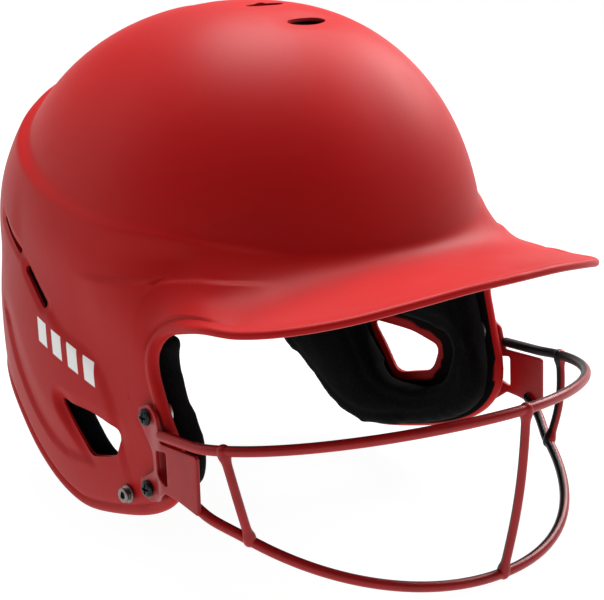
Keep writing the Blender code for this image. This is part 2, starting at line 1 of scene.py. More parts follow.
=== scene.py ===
"""Softball batting helmet: fine shell, liner pads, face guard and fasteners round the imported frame.

Metres, +Z up. The helmet faces -Y and the wearer's right is -X. The origin is the centre of the
wearer's head at brow level. Paired pieces are worked out for the wearer's left side, where X is
positive, and mirrored for the right.
"""
import logging
import math
from dataclasses import dataclass, field
from enum import Enum

import bmesh
import bpy
import numpy as np
from mathutils import Matrix, Vector
from mathutils.geometry import delaunay_2d_cdt


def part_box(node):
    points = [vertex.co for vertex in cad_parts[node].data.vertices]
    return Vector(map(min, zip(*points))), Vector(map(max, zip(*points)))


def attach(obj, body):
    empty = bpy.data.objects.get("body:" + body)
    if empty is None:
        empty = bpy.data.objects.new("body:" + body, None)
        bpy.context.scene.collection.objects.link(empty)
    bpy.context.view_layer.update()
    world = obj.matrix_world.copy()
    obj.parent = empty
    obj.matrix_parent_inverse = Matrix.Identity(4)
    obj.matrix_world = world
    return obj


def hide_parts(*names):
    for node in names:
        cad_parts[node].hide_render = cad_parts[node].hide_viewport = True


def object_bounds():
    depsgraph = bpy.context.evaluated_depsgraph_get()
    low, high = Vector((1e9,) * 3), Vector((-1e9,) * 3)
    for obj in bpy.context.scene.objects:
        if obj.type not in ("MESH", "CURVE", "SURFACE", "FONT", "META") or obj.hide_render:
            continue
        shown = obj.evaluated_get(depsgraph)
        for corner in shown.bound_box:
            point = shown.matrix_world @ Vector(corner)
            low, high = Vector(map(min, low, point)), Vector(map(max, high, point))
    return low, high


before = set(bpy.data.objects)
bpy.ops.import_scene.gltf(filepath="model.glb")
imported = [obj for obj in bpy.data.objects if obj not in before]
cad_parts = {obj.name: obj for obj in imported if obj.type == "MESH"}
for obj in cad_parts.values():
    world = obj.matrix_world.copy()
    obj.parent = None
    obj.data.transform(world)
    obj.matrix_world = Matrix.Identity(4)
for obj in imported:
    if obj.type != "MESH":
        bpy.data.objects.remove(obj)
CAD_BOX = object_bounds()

MM = 0.001
BODY = "helmet"
SHARP_EDGE = math.radians(38)
LOG = logging.getLogger("helmet")

Array = np.ndarray
Colour = tuple[float, float, float]


class Side(Enum):
    """The wearer's sides, with the sign of X on each."""

    RIGHT = -1
    LEFT = 1

    @property
    def label(self) -> str:
        """The side's name as the frame's nodes spell it."""
        return self.name.lower()


# ------------------------------------------------ curves and meshes

def smoothstep(x: Array) -> Array:
    """Rise from 0 to 1 with level ends: 3x squared less 2x cubed, x held between 0 and 1."""
    x = np.clip(x, 0.0, 1.0)
    return x * x * (3.0 - 2.0 * x)


def bump(x: Array) -> Array:
    """Bell of height 1 at 0 that falls to nothing by 1 either way: one less smoothstep of |x|."""
    return 1.0 - smoothstep(np.abs(x))


def unit(vectors: Array) -> Array:
    """The vectors along the last axis, each divided by its own length."""
    return vectors / np.maximum(np.linalg.norm(vectors, axis=-1, keepdims=True), 1e-12)


def smooth_line(points: Array, per_span: int, closed: bool = False) -> Array:
    """Catmull-Rom curve: each span is the cubic through its two points whose end slopes are half
    the chords between their neighbours.

    Args:
        points: The points it passes through, one a row.
        per_span: Steps in each span.
        closed: Whether the last point joins the first.

    Returns:
        The points of the curve.
    """
    pts = np.asarray(points, dtype=float)
    if closed:
        pts = np.vstack([pts[-1], pts, pts[0], pts[1]])
    else:
        pts = np.vstack([2 * pts[0] - pts[1], pts, 2 * pts[-1] - pts[-2]])
    t = np.linspace(0.0, 1.0, per_span, endpoint=False)[None, :, None]
    a, b, c, d = (pts[k:len(pts) - 3 + k][:, None, :] for k in range(4))
    spans = 0.5 * (2 * b + (c - a) * t + (2 * a - 5 * b + 4 * c - d) * t ** 2
                   + (3 * b - a - 3 * c + d) * t ** 3)
    line = spans.reshape(-1, pts.shape[1])
    return line if closed else np.vstack([line, pts[-2]])


def arc_lengths(line: Array) -> Array:
    """Distance travelled along a line at each of its points, starting from 0."""
    return np.concatenate([[0.0], np.cumsum(np.linalg.norm(np.diff(line, axis=0), axis=1))])


def read_along(line: Array, at: Array) -> Array:
    """Points of a line at these distances along it, by straight interpolation."""
    lengths = arc_lengths(line)
    return np.stack([np.interp(at, lengths, line[:, k]) for k in range(line.shape[1])], -1)


def even(line: Array, count: int, closed: bool = False) -> Array:
    """The line's shape with its points evenly spaced.

    Args:
        line: Points, one a row.
        count: Points wanted.
        closed: Whether the line closes on itself.

    Returns:
        The evenly spaced points.
    """
    if closed:
        line = np.vstack([line, line[:1]])
    total = arc_lengths(line)[-1]
    return read_along(line, np.linspace(0.0, total, count, endpoint=not closed))


def corner_curves(corners: Array, before: Array, after: Array, radius: float, steps: int) -> Array:
    """Parabolas that replace corners, each starting and ending radius from its corner.

    Args:
        corners: The corners, one a row.
        before: The point before each corner.
        after: The point after each corner.
        radius: Distance from a corner at which its curve starts.
        steps: Steps in each curve.

    Returns:
        The points of the curves, in order.
    """
    into, away = (unit(way) * np.minimum(radius, 0.45 * np.linalg.norm(way, axis=1, keepdims=True))
                  for way in (before - corners, after - corners))
    t = np.linspace(0.0, 1.0, steps + 1)[None, :, None]
    return (corners[:, None] + into[:, None] * (1 - t) ** 2 + away[:, None] * t ** 2).reshape(-1, 2)


def rounded(corners: Array, radius: float, steps: int = 8) -> Array:
    """Closed outline, given in millimetres and returned in metres, with each corner rounded."""
    pts = np.asarray(corners, dtype=float) * MM
    return corner_curves(pts, np.roll(pts, 1, 0), np.roll(pts, -1, 0), radius, steps)


def line_distance(points: Array, line: Array, closed: bool = False) -> tuple[Array, Array]:
    """Distance from each point to a flat line, and on which side of it the point lies.

    The nearest place on each segment is the point's projection held within the segment. The side
    is the sign of the cross product of the nearest segment and the way to the point.

    Args:
        points: Flat points, two numbers along the last axis.
        line: Points of the line.
        closed: Whether the line closes on itself.

    Returns:
        Distances, and signs that are positive to the left of the line.
    """
    flat = points.reshape(-1, 1, 2)
    start = line[None, :] if closed else line[None, :-1]
    stop = np.roll(line, -1, 0)[None, :] if closed else line[None, 1:]
    run = stop - start
    t = np.clip(((flat - start) * run).sum(-1) / np.maximum((run ** 2).sum(-1), 1e-18), 0.0, 1.0)
    gap = flat - start - run * t[..., None]
    far = (gap ** 2).sum(-1)
    nearest = far.argmin(1)
    rows = np.arange(len(flat))
    along, off = run[0, nearest], gap[rows, nearest]
    side = np.sign(along[:, 0] * off[:, 1] - along[:, 1] * off[:, 0])
    shape = points.shape[:-1]
    return np.sqrt(far[rows, nearest]).reshape(shape), side.reshape(shape)


def inside(points: Array, outline: Array) -> Array:
    """Whether each flat point lies within a closed outline, by counting edges crossed to one side.

    Args:
        points: Flat points, one a row.
        outline: Points of the outline.

    Returns:
        True for each point inside.
    """
    x, y = points[:, None, 0], points[:, None, 1]
    x0, y0 = outline[None, :, 0], outline[None, :, 1]
    x1, y1 = np.roll(x0, -1, 1), np.roll(y0, -1, 1)
    spans = (y0 > y) != (y1 > y)
    cross = x0 + (y - y0) * (x1 - x0) / np.where(y1 == y0, 1e-12, y1 - y0)
    return (spans & (x < cross)).sum(1) % 2 == 1


def grid_faces(rows: int, cols: int, wrap_rows: bool = False, wrap_cols: bool = False) -> Array:
    """Four-sided faces of a grid whose point (r, c) is number r * cols + c.

    Args:
        rows: Rows of points.
        cols: Columns of points.
        wrap_rows: Whether the last row joins the first.
        wrap_cols: Whether the last column joins the first.

    Returns:
        Faces as rows of four point numbers.
    """
    r = np.arange(rows if wrap_rows else rows - 1)[:, None]
    c = np.arange(cols if wrap_cols else cols - 1)[None, :]
    below, right = (r + 1) % rows, (c + 1) % cols
    return np.stack([r * cols + c, below * cols + c, below * cols + right, r * cols + right], -1).reshape(-1, 4)


def add_piece(name: str, verts: Array, faces: list, smooth: bool = True, inner: Array = None) -> bpy.types.Object:
    """Put a closed mesh into the scene with its faces turned outwards.

    Args:
        name: The piece's name.
        verts: Points, one a row.
        faces: Faces as sequences of point numbers.
        smooth: Whether to shade it smooth, apart from its sharp edges.
        inner: How much each point faces the wearer, or on a screw or stud its sunk places, which get painted shade;
            kept as an attribute of that name.

    Returns:
        The new object, at the origin.
    """
    mesh = bpy.data.meshes.new(name)
    mesh.from_pydata(np.asarray(verts, dtype=float).tolist(), [], [list(map(int, f)) for f in faces])
    if inner is not None:
        mesh.attributes.new("inner", "FLOAT", "POINT").data.foreach_set("value", inner.astype(np.float32))
    return add_mesh(name, mesh, smooth)


def add_mesh(name: str, mesh: bpy.types.Mesh, smooth: bool = True) -> bpy.types.Object:
    """Weld a mesh's doubles, turn its faces outwards and link it as an object.

    Args:
        name: The piece's name.
        mesh: The mesh.
        smooth: Whether to shade it smooth, apart from its sharp edges.

    Returns:
        The new object.
    """
    bm = bmesh.new()
    bm.from_mesh(mesh)
    bmesh.ops.remove_doubles(bm, verts=bm.verts, dist=1e-7)
    bmesh.ops.recalc_face_normals(bm, faces=bm.faces)
    bm.to_mesh(mesh)
    bm.free()
    if smooth:
        mesh.shade_smooth()
        mesh.set_sharp_from_angle(angle=SHARP_EDGE)
    obj = bpy.data.objects.new(name, mesh)
    bpy.context.scene.collection.objects.link(obj)
    return obj


def mirror_x(points: Array) -> Array:
    """The points reflected in the plane of symmetry."""
    return points * [-1.0, 1.0, 1.0]


def swept_tube(path: Array, radii: Array, sides: int) -> tuple[Array, Array, Array]:
    """Round tube along a path, closed at both ends with a dome.

    Each ring lies square to the path, on two directions: one level and square to the path, the
    other square to both. The end rings shrink to a point as a quarter circle.

    Args:
        path: Centreline, one point a row.
        radii: Radius at each point.
        sides: Points round each ring.

    Returns:
        Points, faces, and each point's outward direction.
    """
    ends = np.sin(np.linspace(0.0, 0.5 * math.pi, 6)[:-1])
    back = np.cos(np.linspace(0.0, 0.5 * math.pi, 6)[:-1])
    tangent = unit(np.gradient(path, axis=0))
    head = path[0] - tangent[0] * radii[0] * back[:, None]
    tail = path[-1] + tangent[-1] * radii[-1] * back[::-1, None]
    line = np.vstack([head, path, tail])
    size = np.concatenate([radii[0] * ends, radii, radii[-1] * ends[::-1]])
    tangent = np.vstack([np.repeat(tangent[:1], len(ends), 0), tangent, np.repeat(tangent[-1:], len(ends), 0)])
    up = np.array([0.0, 0.0, 1.0]) if abs(tangent[:, 2]).max() < 0.9 else np.array([0.0, 1.0, 0.0])
    level = unit(np.cross(tangent, up))
    other = np.cross(level, tangent)
    angle = np.arange(sides) * (2 * math.pi / sides)
    out = level[:, None] * np.cos(angle)[None, :, None] + other[:, None] * np.sin(angle)[None, :, None]
    verts = line[:, None] + out * size[:, None, None]
    return verts.reshape(-1, 3), grid_faces(len(line), sides, wrap_cols=True), out.reshape(-1, 3)


def turned(profile: Array, centre: Array, side: Side, sides: int, closed: bool = False) -> tuple[Array, Array]:
    """Surface of revolution about an axis along X.

    Args:
        profile: Rows of (distance outwards along X, radius). A radius of 0 at an end is a pole.
        centre: Where the profile's zero lies.
        side: The side that outwards points to.
        sides: Points round the axis.
        closed: Whether the profile closes on itself, as a ring's does.

    Returns:
        Points and faces.
    """
    angle = np.arange(sides) * (2 * math.pi / sides)
    along, radius = profile[:, 0, None], profile[:, 1, None]
    x = centre[0] + side.value * along + 0.0 * angle
    y = centre[1] + radius * np.cos(angle)
    z = centre[2] + radius * np.sin(angle)
    return np.stack([x, y, z], -1).reshape(-1, 3), grid_faces(len(profile), sides, closed, True)


def arc_profile(points: Array, radius: float, steps: int = 4) -> Array:
    """Open profile, given in millimetres and returned in metres, with its inner corners rounded."""
    pts = np.asarray(points, dtype=float) * MM
    return np.vstack([pts[:1], corner_curves(pts[1:-1], pts[:-2], pts[2:], radius, steps), pts[-1:]])


# ------------------------------------------------ finishes

class Signal:
    """A shader socket that takes part in Python arithmetic; each operator adds one Math node."""

    def __init__(self, paint: "Paint", socket: bpy.types.NodeSocket) -> None:
        """Wrap an output socket of a material that is being built."""
        self.paint = paint
        self.socket = socket

    def math(self, operation: str, *others: object) -> "Signal":
        """A Math node of this operation on this value and the others."""
        return self.paint.node("ShaderNodeMath", {"operation": operation}, [self, *others])

    def __add__(self, other: object) -> "Signal":
        """Sum."""
        return self.math("ADD", other)

    __radd__ = __add__

    def __mul__(self, other: object) -> "Signal":
        """Product."""
        return self.math("MULTIPLY", other)

    __rmul__ = __mul__

    def __sub__(self, other: object) -> "Signal":
        """Difference."""
        return self.math("SUBTRACT", other)

    def __rsub__(self, other: object) -> "Signal":
        """Difference the other way round."""
        return self.paint.node("ShaderNodeMath", {"operation": "SUBTRACT"}, [other, self])

    def rise(self, low: float, high: float) -> "Signal":
        """Smooth rise from 0 at low to 1 at high."""
        settings = {"interpolation_type": "SMOOTHSTEP"}
        return self.paint.node("ShaderNodeMapRange", settings, {"Value": self, "From Min": low, "From Max": high})

    def within(self, half: float, soft: float) -> "Signal":
        """1 where the value is nearer 0 than half, 0 beyond, with an edge of width soft."""
        return 1.0 - self.math("ABSOLUTE").rise(half - soft, half)


class Paint:
    """A material being built round one Principled shader."""

    def __init__(self, name: str, **constants: object) -> None:
        """Start a material.

        Args:
            name: The material's name.
            constants: Values of the shader's sockets, named with _ for a space.
        """
        self.material = bpy.data.materials.new(name)
        self.material.use_nodes = True
        self.tree = self.material.node_tree
        self.shader = self.tree.nodes["Principled BSDF"]
        for key, value in constants.items():
            words = " ".join(word.upper() if word == "ior" else word.capitalize() for word in key.split("_"))
            self.shader.inputs[words].default_value = value

    def node(self, kind: str, settings: dict, inputs: object = (), output: object = 0) -> Signal:
        """Add one node: its settings first, then its sockets' values or links.

        Args:
            kind: The node's type.
            settings: Properties set before its sockets are.
            inputs: Sockets by name or by order, each a value or a Signal.
            output: Name or number of the output wanted.

        Returns:
            The output as a Signal.
        """
        made = self.tree.nodes.new(kind)
        for key, value in settings.items():
            setattr(made, key, value)
        pairs = inputs.items() if isinstance(inputs, dict) else enumerate(inputs)
        for key, value in pairs:
            if isinstance(value, Signal):
                self.tree.links.new(value.socket, made.inputs[key])
            else:
                made.inputs[key].default_value = value
        return Signal(self, made.outputs[output])

    def place(self) -> Signal:
        """Object coordinates, which are the frame's own metres."""
        return self.node("ShaderNodeTexCoord", {}, (), "Object")

    def axes(self) -> tuple[Signal, Signal, Signal]:
        """Object coordinates as three numbers.

        Returns:
            X, Y and Z.
        """
        split = self.node("ShaderNodeSeparateXYZ", {}, [self.place()])
        outputs = split.socket.node.outputs
        return tuple(Signal(self, outputs[k]) for k in range(3))

    def noise(self, scale: float, detail: float = 2.0, vector: Signal = None) -> Signal:
        """Noise from 0 to 1 with this many lumps a metre."""
        inputs = {"Vector": vector or self.place(), "Scale": scale, "Detail": detail}
        return self.node("ShaderNodeTexNoise", {}, inputs, 0)

    def attribute(self, name: str) -> Signal:
        """A number that the mesh holds at its points."""
        return self.node("ShaderNodeAttribute", {"attribute_name": name}, (), "Fac")

    def mix(self, share: Signal, first: object, second: object) -> Signal:
        """Colour that goes from first to second as share goes from 0 to 1.

        Args:
            share: How much of the second colour.
            first: A colour, or a Signal of one.
            second: A colour, or a Signal of one.

        Returns:
            The mixed colour.
        """
        pair = [c if isinstance(c, Signal) else (*c, 1.0) for c in (first, second)]
        inputs = {0: share, 6: pair[0], 7: pair[1]}
        return self.node("ShaderNodeMix", {"data_type": "RGBA"}, inputs, 2)

    def link(self, socket: str, value: Signal) -> None:
        """Feed one of the shader's sockets."""
        self.tree.links.new(value.socket, self.shader.inputs[socket])

    def relief(self, height: Signal, depth: float) -> None:
        """Bump the surface by a height from 0 to 1, depth metres high."""
        bumped = self.node("ShaderNodeBump", {}, {"Strength": 1.0, "Distance": depth, "Height": height}, 0)
        self.link("Normal", bumped)


def wear(piece: bpy.types.Object, material: bpy.types.Material) -> None:
    """Give a piece its one material.

    Args:
        piece: The piece.
        material: Its material.
    """
    piece.data.materials.clear()
    piece.data.materials.append(material)


@dataclass(frozen=True)
class ShellFinish:
    """Matte red moulded plastic with a soft sheen, a black flocked inside and white side flashes."""

    red: Colour = (0.42, 0.0068, 0.0072)
    deep: Colour = (0.37, 0.0058, 0.0062)
    white: Colour = (0.86, 0.86, 0.85)
    lining: Colour = (0.0022, 0.0020, 0.0020)
    grain: float = 1400.0
    grain_depth: float = 0.00003
    flash_centre: tuple[float, float] = (0.003, -0.0205)
    flash_slope: float = math.radians(15)
    flash_pitch: float = 0.0122
    flash_bars: int = 4
    flash_bar: float = 0.0078
    flash_height: float = 0.0105
    flash_lean: float = 0.35
    flash_reach: float = 0.07

    def flashes(self, paint: Paint) -> Signal:
        """Row of leaning bars on each side: 1 on a bar, 0 off it.

        The place along the row, less its share of the place across it, is wrapped to one pitch,
        and a bar is where that lies within half a bar of the pitch's middle.

        Args:
            paint: The material being built.

        Returns:
            The mask.
        """
        x, y, z = paint.axes()
        cos, sin = math.cos(self.flash_slope), math.sin(self.flash_slope)
        y, z = y - self.flash_centre[0], z - self.flash_centre[1]
        along = y * cos + z * sin
        across = z * cos - y * sin
        leaned = along - across * self.flash_lean
        row = leaned.within(0.5 * self.flash_bars * self.flash_pitch, 0.0002)
        phase = leaned.math("ADD", 50 * self.flash_pitch).math("MODULO", self.flash_pitch) - 0.5 * self.flash_pitch
        bar = phase.within(0.5 * self.flash_bar, 0.0003)
        tall = across.within(0.5 * self.flash_height, 0.0003)
        return row * bar * tall * x.math("ABSOLUTE").rise(self.flash_reach, self.flash_reach + 2 * MM)

    def build(self) -> bpy.types.Material:
        """Make the material.

        Returns:
            The material.
        """
        paint = Paint("shell_plastic", sheen_weight=0.06, sheen_roughness=0.45, coat_roughness=0.5,
                      specular_ior_level=0.10, ior=1.5)
        paint.shader.inputs["Sheen Tint"].default_value = (1.0, 0.62, 0.6, 1.0)
        cloud = paint.noise(9.0, 3.0)
        colour = paint.mix(cloud.rise(0.35, 0.7), self.red, self.deep)
        flash = self.flashes(paint)
        colour = paint.mix(flash, colour, self.white)
        lining = paint.attribute("lining").rise(0.35, 0.65)
        colour = paint.mix(lining, colour, self.lining)
        paint.link("Base Color", colour)
        scuff = paint.noise(60.0, 6.0).rise(0.55, 0.75)
        paint.link("Roughness", 0.46 + 0.05 * cloud + 0.05 * scuff + 0.45 * lining - 0.08 * flash)
        paint.relief(paint.noise(self.grain, 2.0) + 6.0 * lining * paint.noise(2400.0, 3.0), self.grain_depth)
        return paint.material


@dataclass(frozen=True)
class CoatFinish:
    """Powder coat on steel: red outside, a black dipped coat where the mesh's attribute says so."""

    red: Colour = (0.36, 0.0085, 0.0100)
    black: Colour = (0.004, 0.004, 0.0045)
    peel: float = 900.0
    peel_depth: float = 0.00005

    def build(self, name: str, two_tone: bool) -> bpy.types.Material:
        """Make the material.

        Args:
            name: The material's name.
            two_tone: Whether the attribute named inner turns the coat black.

        Returns:
            The material.
        """
        paint = Paint(name, coat_roughness=0.2, specular_ior_level=0.28, sheen_weight=0.0)
        cloud = paint.noise(70.0, 3.0)
        colour = paint.mix(cloud.rise(0.4, 0.75), self.red, tuple(0.82 * c for c in self.red))
        if two_tone:
            colour = paint.mix(paint.attribute("inner").rise(0.46, 0.54), colour, self.black)
        paint.link("Base Color", colour)
        paint.link("Roughness", 0.30 + 0.12 * cloud)
        paint.relief(paint.noise(self.peel, 2.0), self.peel_depth)
        return paint.material


@dataclass(frozen=True)
class MetalFinish:
    """Plated or blackened steel with fine turning marks, a little wear, and painted shade in its sunk places."""

    name: str
    colour: Colour
    worn: Colour
    roughness: float
    metallic: float = 1.0
    # Near-black painted shade for sunk places: the screws' cross recesses and the studs' wells.
    recess_shade: Colour = (0.004, 0.004, 0.004)

    def build(self) -> bpy.types.Material:
        """Make the material; the attribute named inner paints sunk places near black as painted shade.

        Returns:
            The material.
        """
        paint = Paint(self.name, metallic=self.metallic, specular_ior_level=0.5)
        rub = paint.noise(900.0, 4.0).rise(0.52, 0.72)
        worn = paint.mix(rub, self.colour, self.worn)
        # Painted shade: where the inner attribute marks a sunk place, the colour turns near black.
        paint.link("Base Color", paint.mix(paint.attribute("inner").rise(0.3, 0.7), worn, self.recess_shade))
        paint.link("Roughness", self.roughness + 0.16 * paint.noise(2600.0, 3.0))
        paint.relief(paint.noise(5200.0, 2.0), 0.00001)
        return paint.material


@dataclass(frozen=True)
class ClothFinish:
    """Black brushed nylon over foam: a fine two-way knit with a soft nap and faint lint."""

    black: Colour = (0.0022, 0.0020, 0.0020)
    lint: Colour = (0.0065, 0.0060, 0.0060)
    pitch: float = 0.0011

    def build(self) -> bpy.types.Material:
        """Make the material: two crossed waves along the frame's diagonals stand for the knit.

        Returns:
            The material.
        """
        paint = Paint("liner_cloth", sheen_weight=0.02, sheen_roughness=0.6, specular_ior_level=0.04)
        x, y, z = paint.axes()
        turn = 2 * math.pi / self.pitch
        warp = ((y + z + x) * turn).math("SINE")
        weft = ((y - z + x) * turn).math("SINE")
        knit = warp * weft * 0.5 + 0.5
        nap = paint.noise(700.0, 5.0)
        paint.link("Base Color", paint.mix(nap.rise(0.45, 0.8), self.black, self.lint))
        paint.link("Roughness", 0.88 + 0.1 * nap)
        paint.relief(knit * 0.6 + nap * 0.8, 0.00012)
        return paint.material


# ------------------------------------------------ the shell

@dataclass(frozen=True)
class ShellForm:
    """The moulding's outer surface: a superellipsoid dome over a skirt that becomes the ear flaps."""

    half_width: float = 99.8 * MM
    front: float = 97.7 * MM
    rear: float = 133.3 * MM
    height: float = 118.0 * MM
    centre_y: float = -9.2 * MM
    centre_z: float = 4.4 * MM
    plan_power: float = 2.17
    dome_power: float = 2.14
    flap_power: float = 5.0
    flap_top: float = 30.0 * MM
    flap_blend: float = 50.0 * MM
    skirt: float = 105.0 * MM
    tuck: float = 0.14
    band_proud: float = 3.6 * MM
    band_height: float = 62.0 * MM
    band_spread: float = 26.0 * MM

    def ring(self, z: Array, inset: float = 0.0) -> Array:
        """How wide the surface is at a height, as a share of its full width.

        Above the centre it follows the dome's superellipse; below, it tucks in with the cube of
        the drop.

        Args:
            z: Heights.
            inset: How far inside the outer surface.

        Returns:
            Shares of the full width.
        """
        rise = np.clip((z - self.centre_z) / (self.height - inset), 0.0, 1.0)
        dome = (1.0 - rise ** self.dome_power) ** (1.0 / self.dome_power)
        drop = np.clip((self.centre_z - z) / self.skirt, 0.0, 1.2)
        return dome * (1.0 - self.tuck * drop ** 3)

    def power(self, z: Array, ahead: Array) -> Array:
        """Power of the plan's superellipse: squarer at flap level, most of all in front."""
        flap = smoothstep((self.flap_top - z) / self.flap_blend)
        return self.plan_power + np.where(ahead, self.flap_power - self.plan_power, 0.15) * flap

    def band(self, sin: Array, z: Array) -> Array:
        """How far the rear band stands proud: a bell over its height, fading out along the sides."""
        bell = np.exp(-((z - self.band_height) / self.band_spread) ** 2)
        return self.band_proud * bell * smoothstep(sin * 1.4 + 0.1)

    def wall(self, azimuth: Array, z: Array, inset: float = 0.0, banded: bool = True) -> Array:
        """Points of the surface.

        Each level is a superellipse in plan, with a front and a rear length of its own, scaled by
        the level's ring and pushed out by the band.

        Args:
            azimuth: Angles round +Z from the front, -Y, through the left, in radians.
            z: Heights.
            inset: How far inside the outer surface.
            banded: Whether the band stands proud.

        Returns:
            Points along a new last axis.
        """
        sin, cos = -np.cos(azimuth), np.sin(azimuth)
        ring = self.ring(z, inset)
        ahead = sin < 0.0
        power = self.power(z, ahead)
        length = np.where(ahead, self.front, self.rear) - inset
        scale = (np.abs(cos) ** power + np.abs(sin) ** power) ** (-1.0 / power)
        proud = self.band(sin, z) if banded else 0.0
        x = cos * scale * ((self.half_width - inset) * ring + proud)
        y = self.centre_y + sin * scale * (length * ring + proud)
        return np.stack([x, y, z + 0.0 * x], -1)

    def azimuth_of(self, points: Array) -> Array:
        """Angle from the front whose wall lies in line with each point.

        Args:
            points: Points along the last axis.

        Returns:
            Angles in radians.
        """
        x, y, z = points[..., 0], points[..., 1] - self.centre_y, points[..., 2]
        length = np.where(y < 0.0, self.front, self.rear) * self.ring(z)
        return np.arctan2(x / (self.half_width * self.ring(z)), -y / length)

    def side_x(self, y: Array, z: Array, inset: float = 0.0) -> Array:
        """Distance of the surface from the middle plane at places of the side view.

        Args:
            y: Places fore and aft.
            z: Heights.
            inset: How far inside the outer surface.

        Returns:
            Distances.
        """
        off = y - self.centre_y
        ahead = off < 0.0
        sin = np.where(ahead, -0.5, 1.0)
        ring, power, proud = self.ring(z, inset), self.power(z, ahead), self.band(sin, z) * (off > 0.0)
        length = (np.where(ahead, self.front, self.rear) - inset) * ring + proud
        share = np.clip(np.abs(off) / length, 0.0, 0.999)
        return ((self.half_width - inset) * ring + proud) * (1.0 - share ** power) ** (1.0 / power)

    def end_y(self, x: Array, z: Array, inset: float, ahead: bool) -> Array:
        """Front or rear surface at places of the front view.

        Args:
            x: Places from side to side.
            z: Heights.
            inset: How far inside the outer surface.
            ahead: Whether the front surface is meant.

        Returns:
            The surface's Y.
        """
        ring, power = self.ring(z, inset), self.power(z, np.full(np.shape(z), ahead))
        proud = 0.0 if ahead else self.band(np.array(1.0), z)
        length = ((self.front if ahead else self.rear) - inset) * ring + proud
        share = np.clip(np.abs(x) / ((self.half_width - inset) * ring + proud), 0.0, 0.999)
        return self.centre_y + (-1.0 if ahead else 1.0) * length * (1.0 - share ** power) ** (1.0 / power)

    def crown_z(self, x: Array, y: Array, inset: float) -> Array:
        """Height of the dome at places of the plan, where the plan's power is the dome's own.

        Args:
            x: Places from side to side.
            y: Places fore and aft.
            inset: How far inside the outer surface.

        Returns:
            Heights.
        """
        off = y - self.centre_y
        length = np.where(off < 0.0, self.front, self.rear) - inset
        plan = (np.abs(x / (self.half_width - inset)) ** self.plan_power
                + np.abs(off / length) ** self.plan_power) ** (1.0 / self.plan_power)
        rise = (1.0 - np.clip(plan, 0.0, 0.999) ** self.dome_power) ** (1.0 / self.dome_power)
        return self.centre_z + (self.height - inset) * rise

    def gauge(self, points: Array, inset: float) -> Array:
        """How far out each point lies from the centre, where the inset surface reads 1.

        Args:
            points: Points, one a row.
            inset: How far inside the outer surface.

        Returns:
            Shares of the way out.
        """
        z = points[:, 2]
        flat = points[:, :2] - [0.0, self.centre_y]
        reach = np.maximum(np.linalg.norm(flat, axis=1), 1e-9)
        x, y = (flat * (1.0 - self.band(flat[:, 1] / reach, z) / reach)[:, None]).T
        ahead = y < 0.0
        power = self.power(z, ahead)
        length = np.where(ahead, self.front, self.rear) - inset
        plan = (np.abs(x / (self.half_width - inset)) ** power + np.abs(y / length) ** power) ** (1.0 / power)
        rise = np.clip((z - self.centre_z) / (self.height - inset), 0.0, None)
        dome = (plan ** self.dome_power + rise ** self.dome_power) ** (1.0 / self.dome_power)
        return np.where(rise > 0.0, dome, plan / self.ring(z))


FORM = ShellForm()
WALL = 3.6 * MM
SCREW_PLACES = {"upper": (-57.5, -34.5), "lower": (-53.5, -67.0)}
STUD_PLACE = (-34.5, -75.5)


@dataclass(frozen=True)
class Cutout:
    """A hole through the shell: a closed outline carried along an axis."""

    outline: Array
    axis: str
    low: float
    high: float

    def prism(self) -> tuple[Array, list]:
        """The closed prism that cuts it.

        Returns:
            Points and faces.
        """
        count = len(self.outline)
        a, b = self.outline[:, 0], self.outline[:, 1]
        order = {"X": lambda level: (level, a, b), "Z": lambda level: (a, b, level)}[self.axis]
        ends = [np.stack([v + 0.0 * a for v in order(level)], -1) for level in (self.low, self.high)]
        ring = np.arange(count)
        nxt = (ring + 1) % count
        walls = np.stack([ring, nxt, nxt + count, ring + count], -1).tolist()
        return np.vstack(ends), [ring.tolist(), (ring[::-1] + count).tolist()] + walls


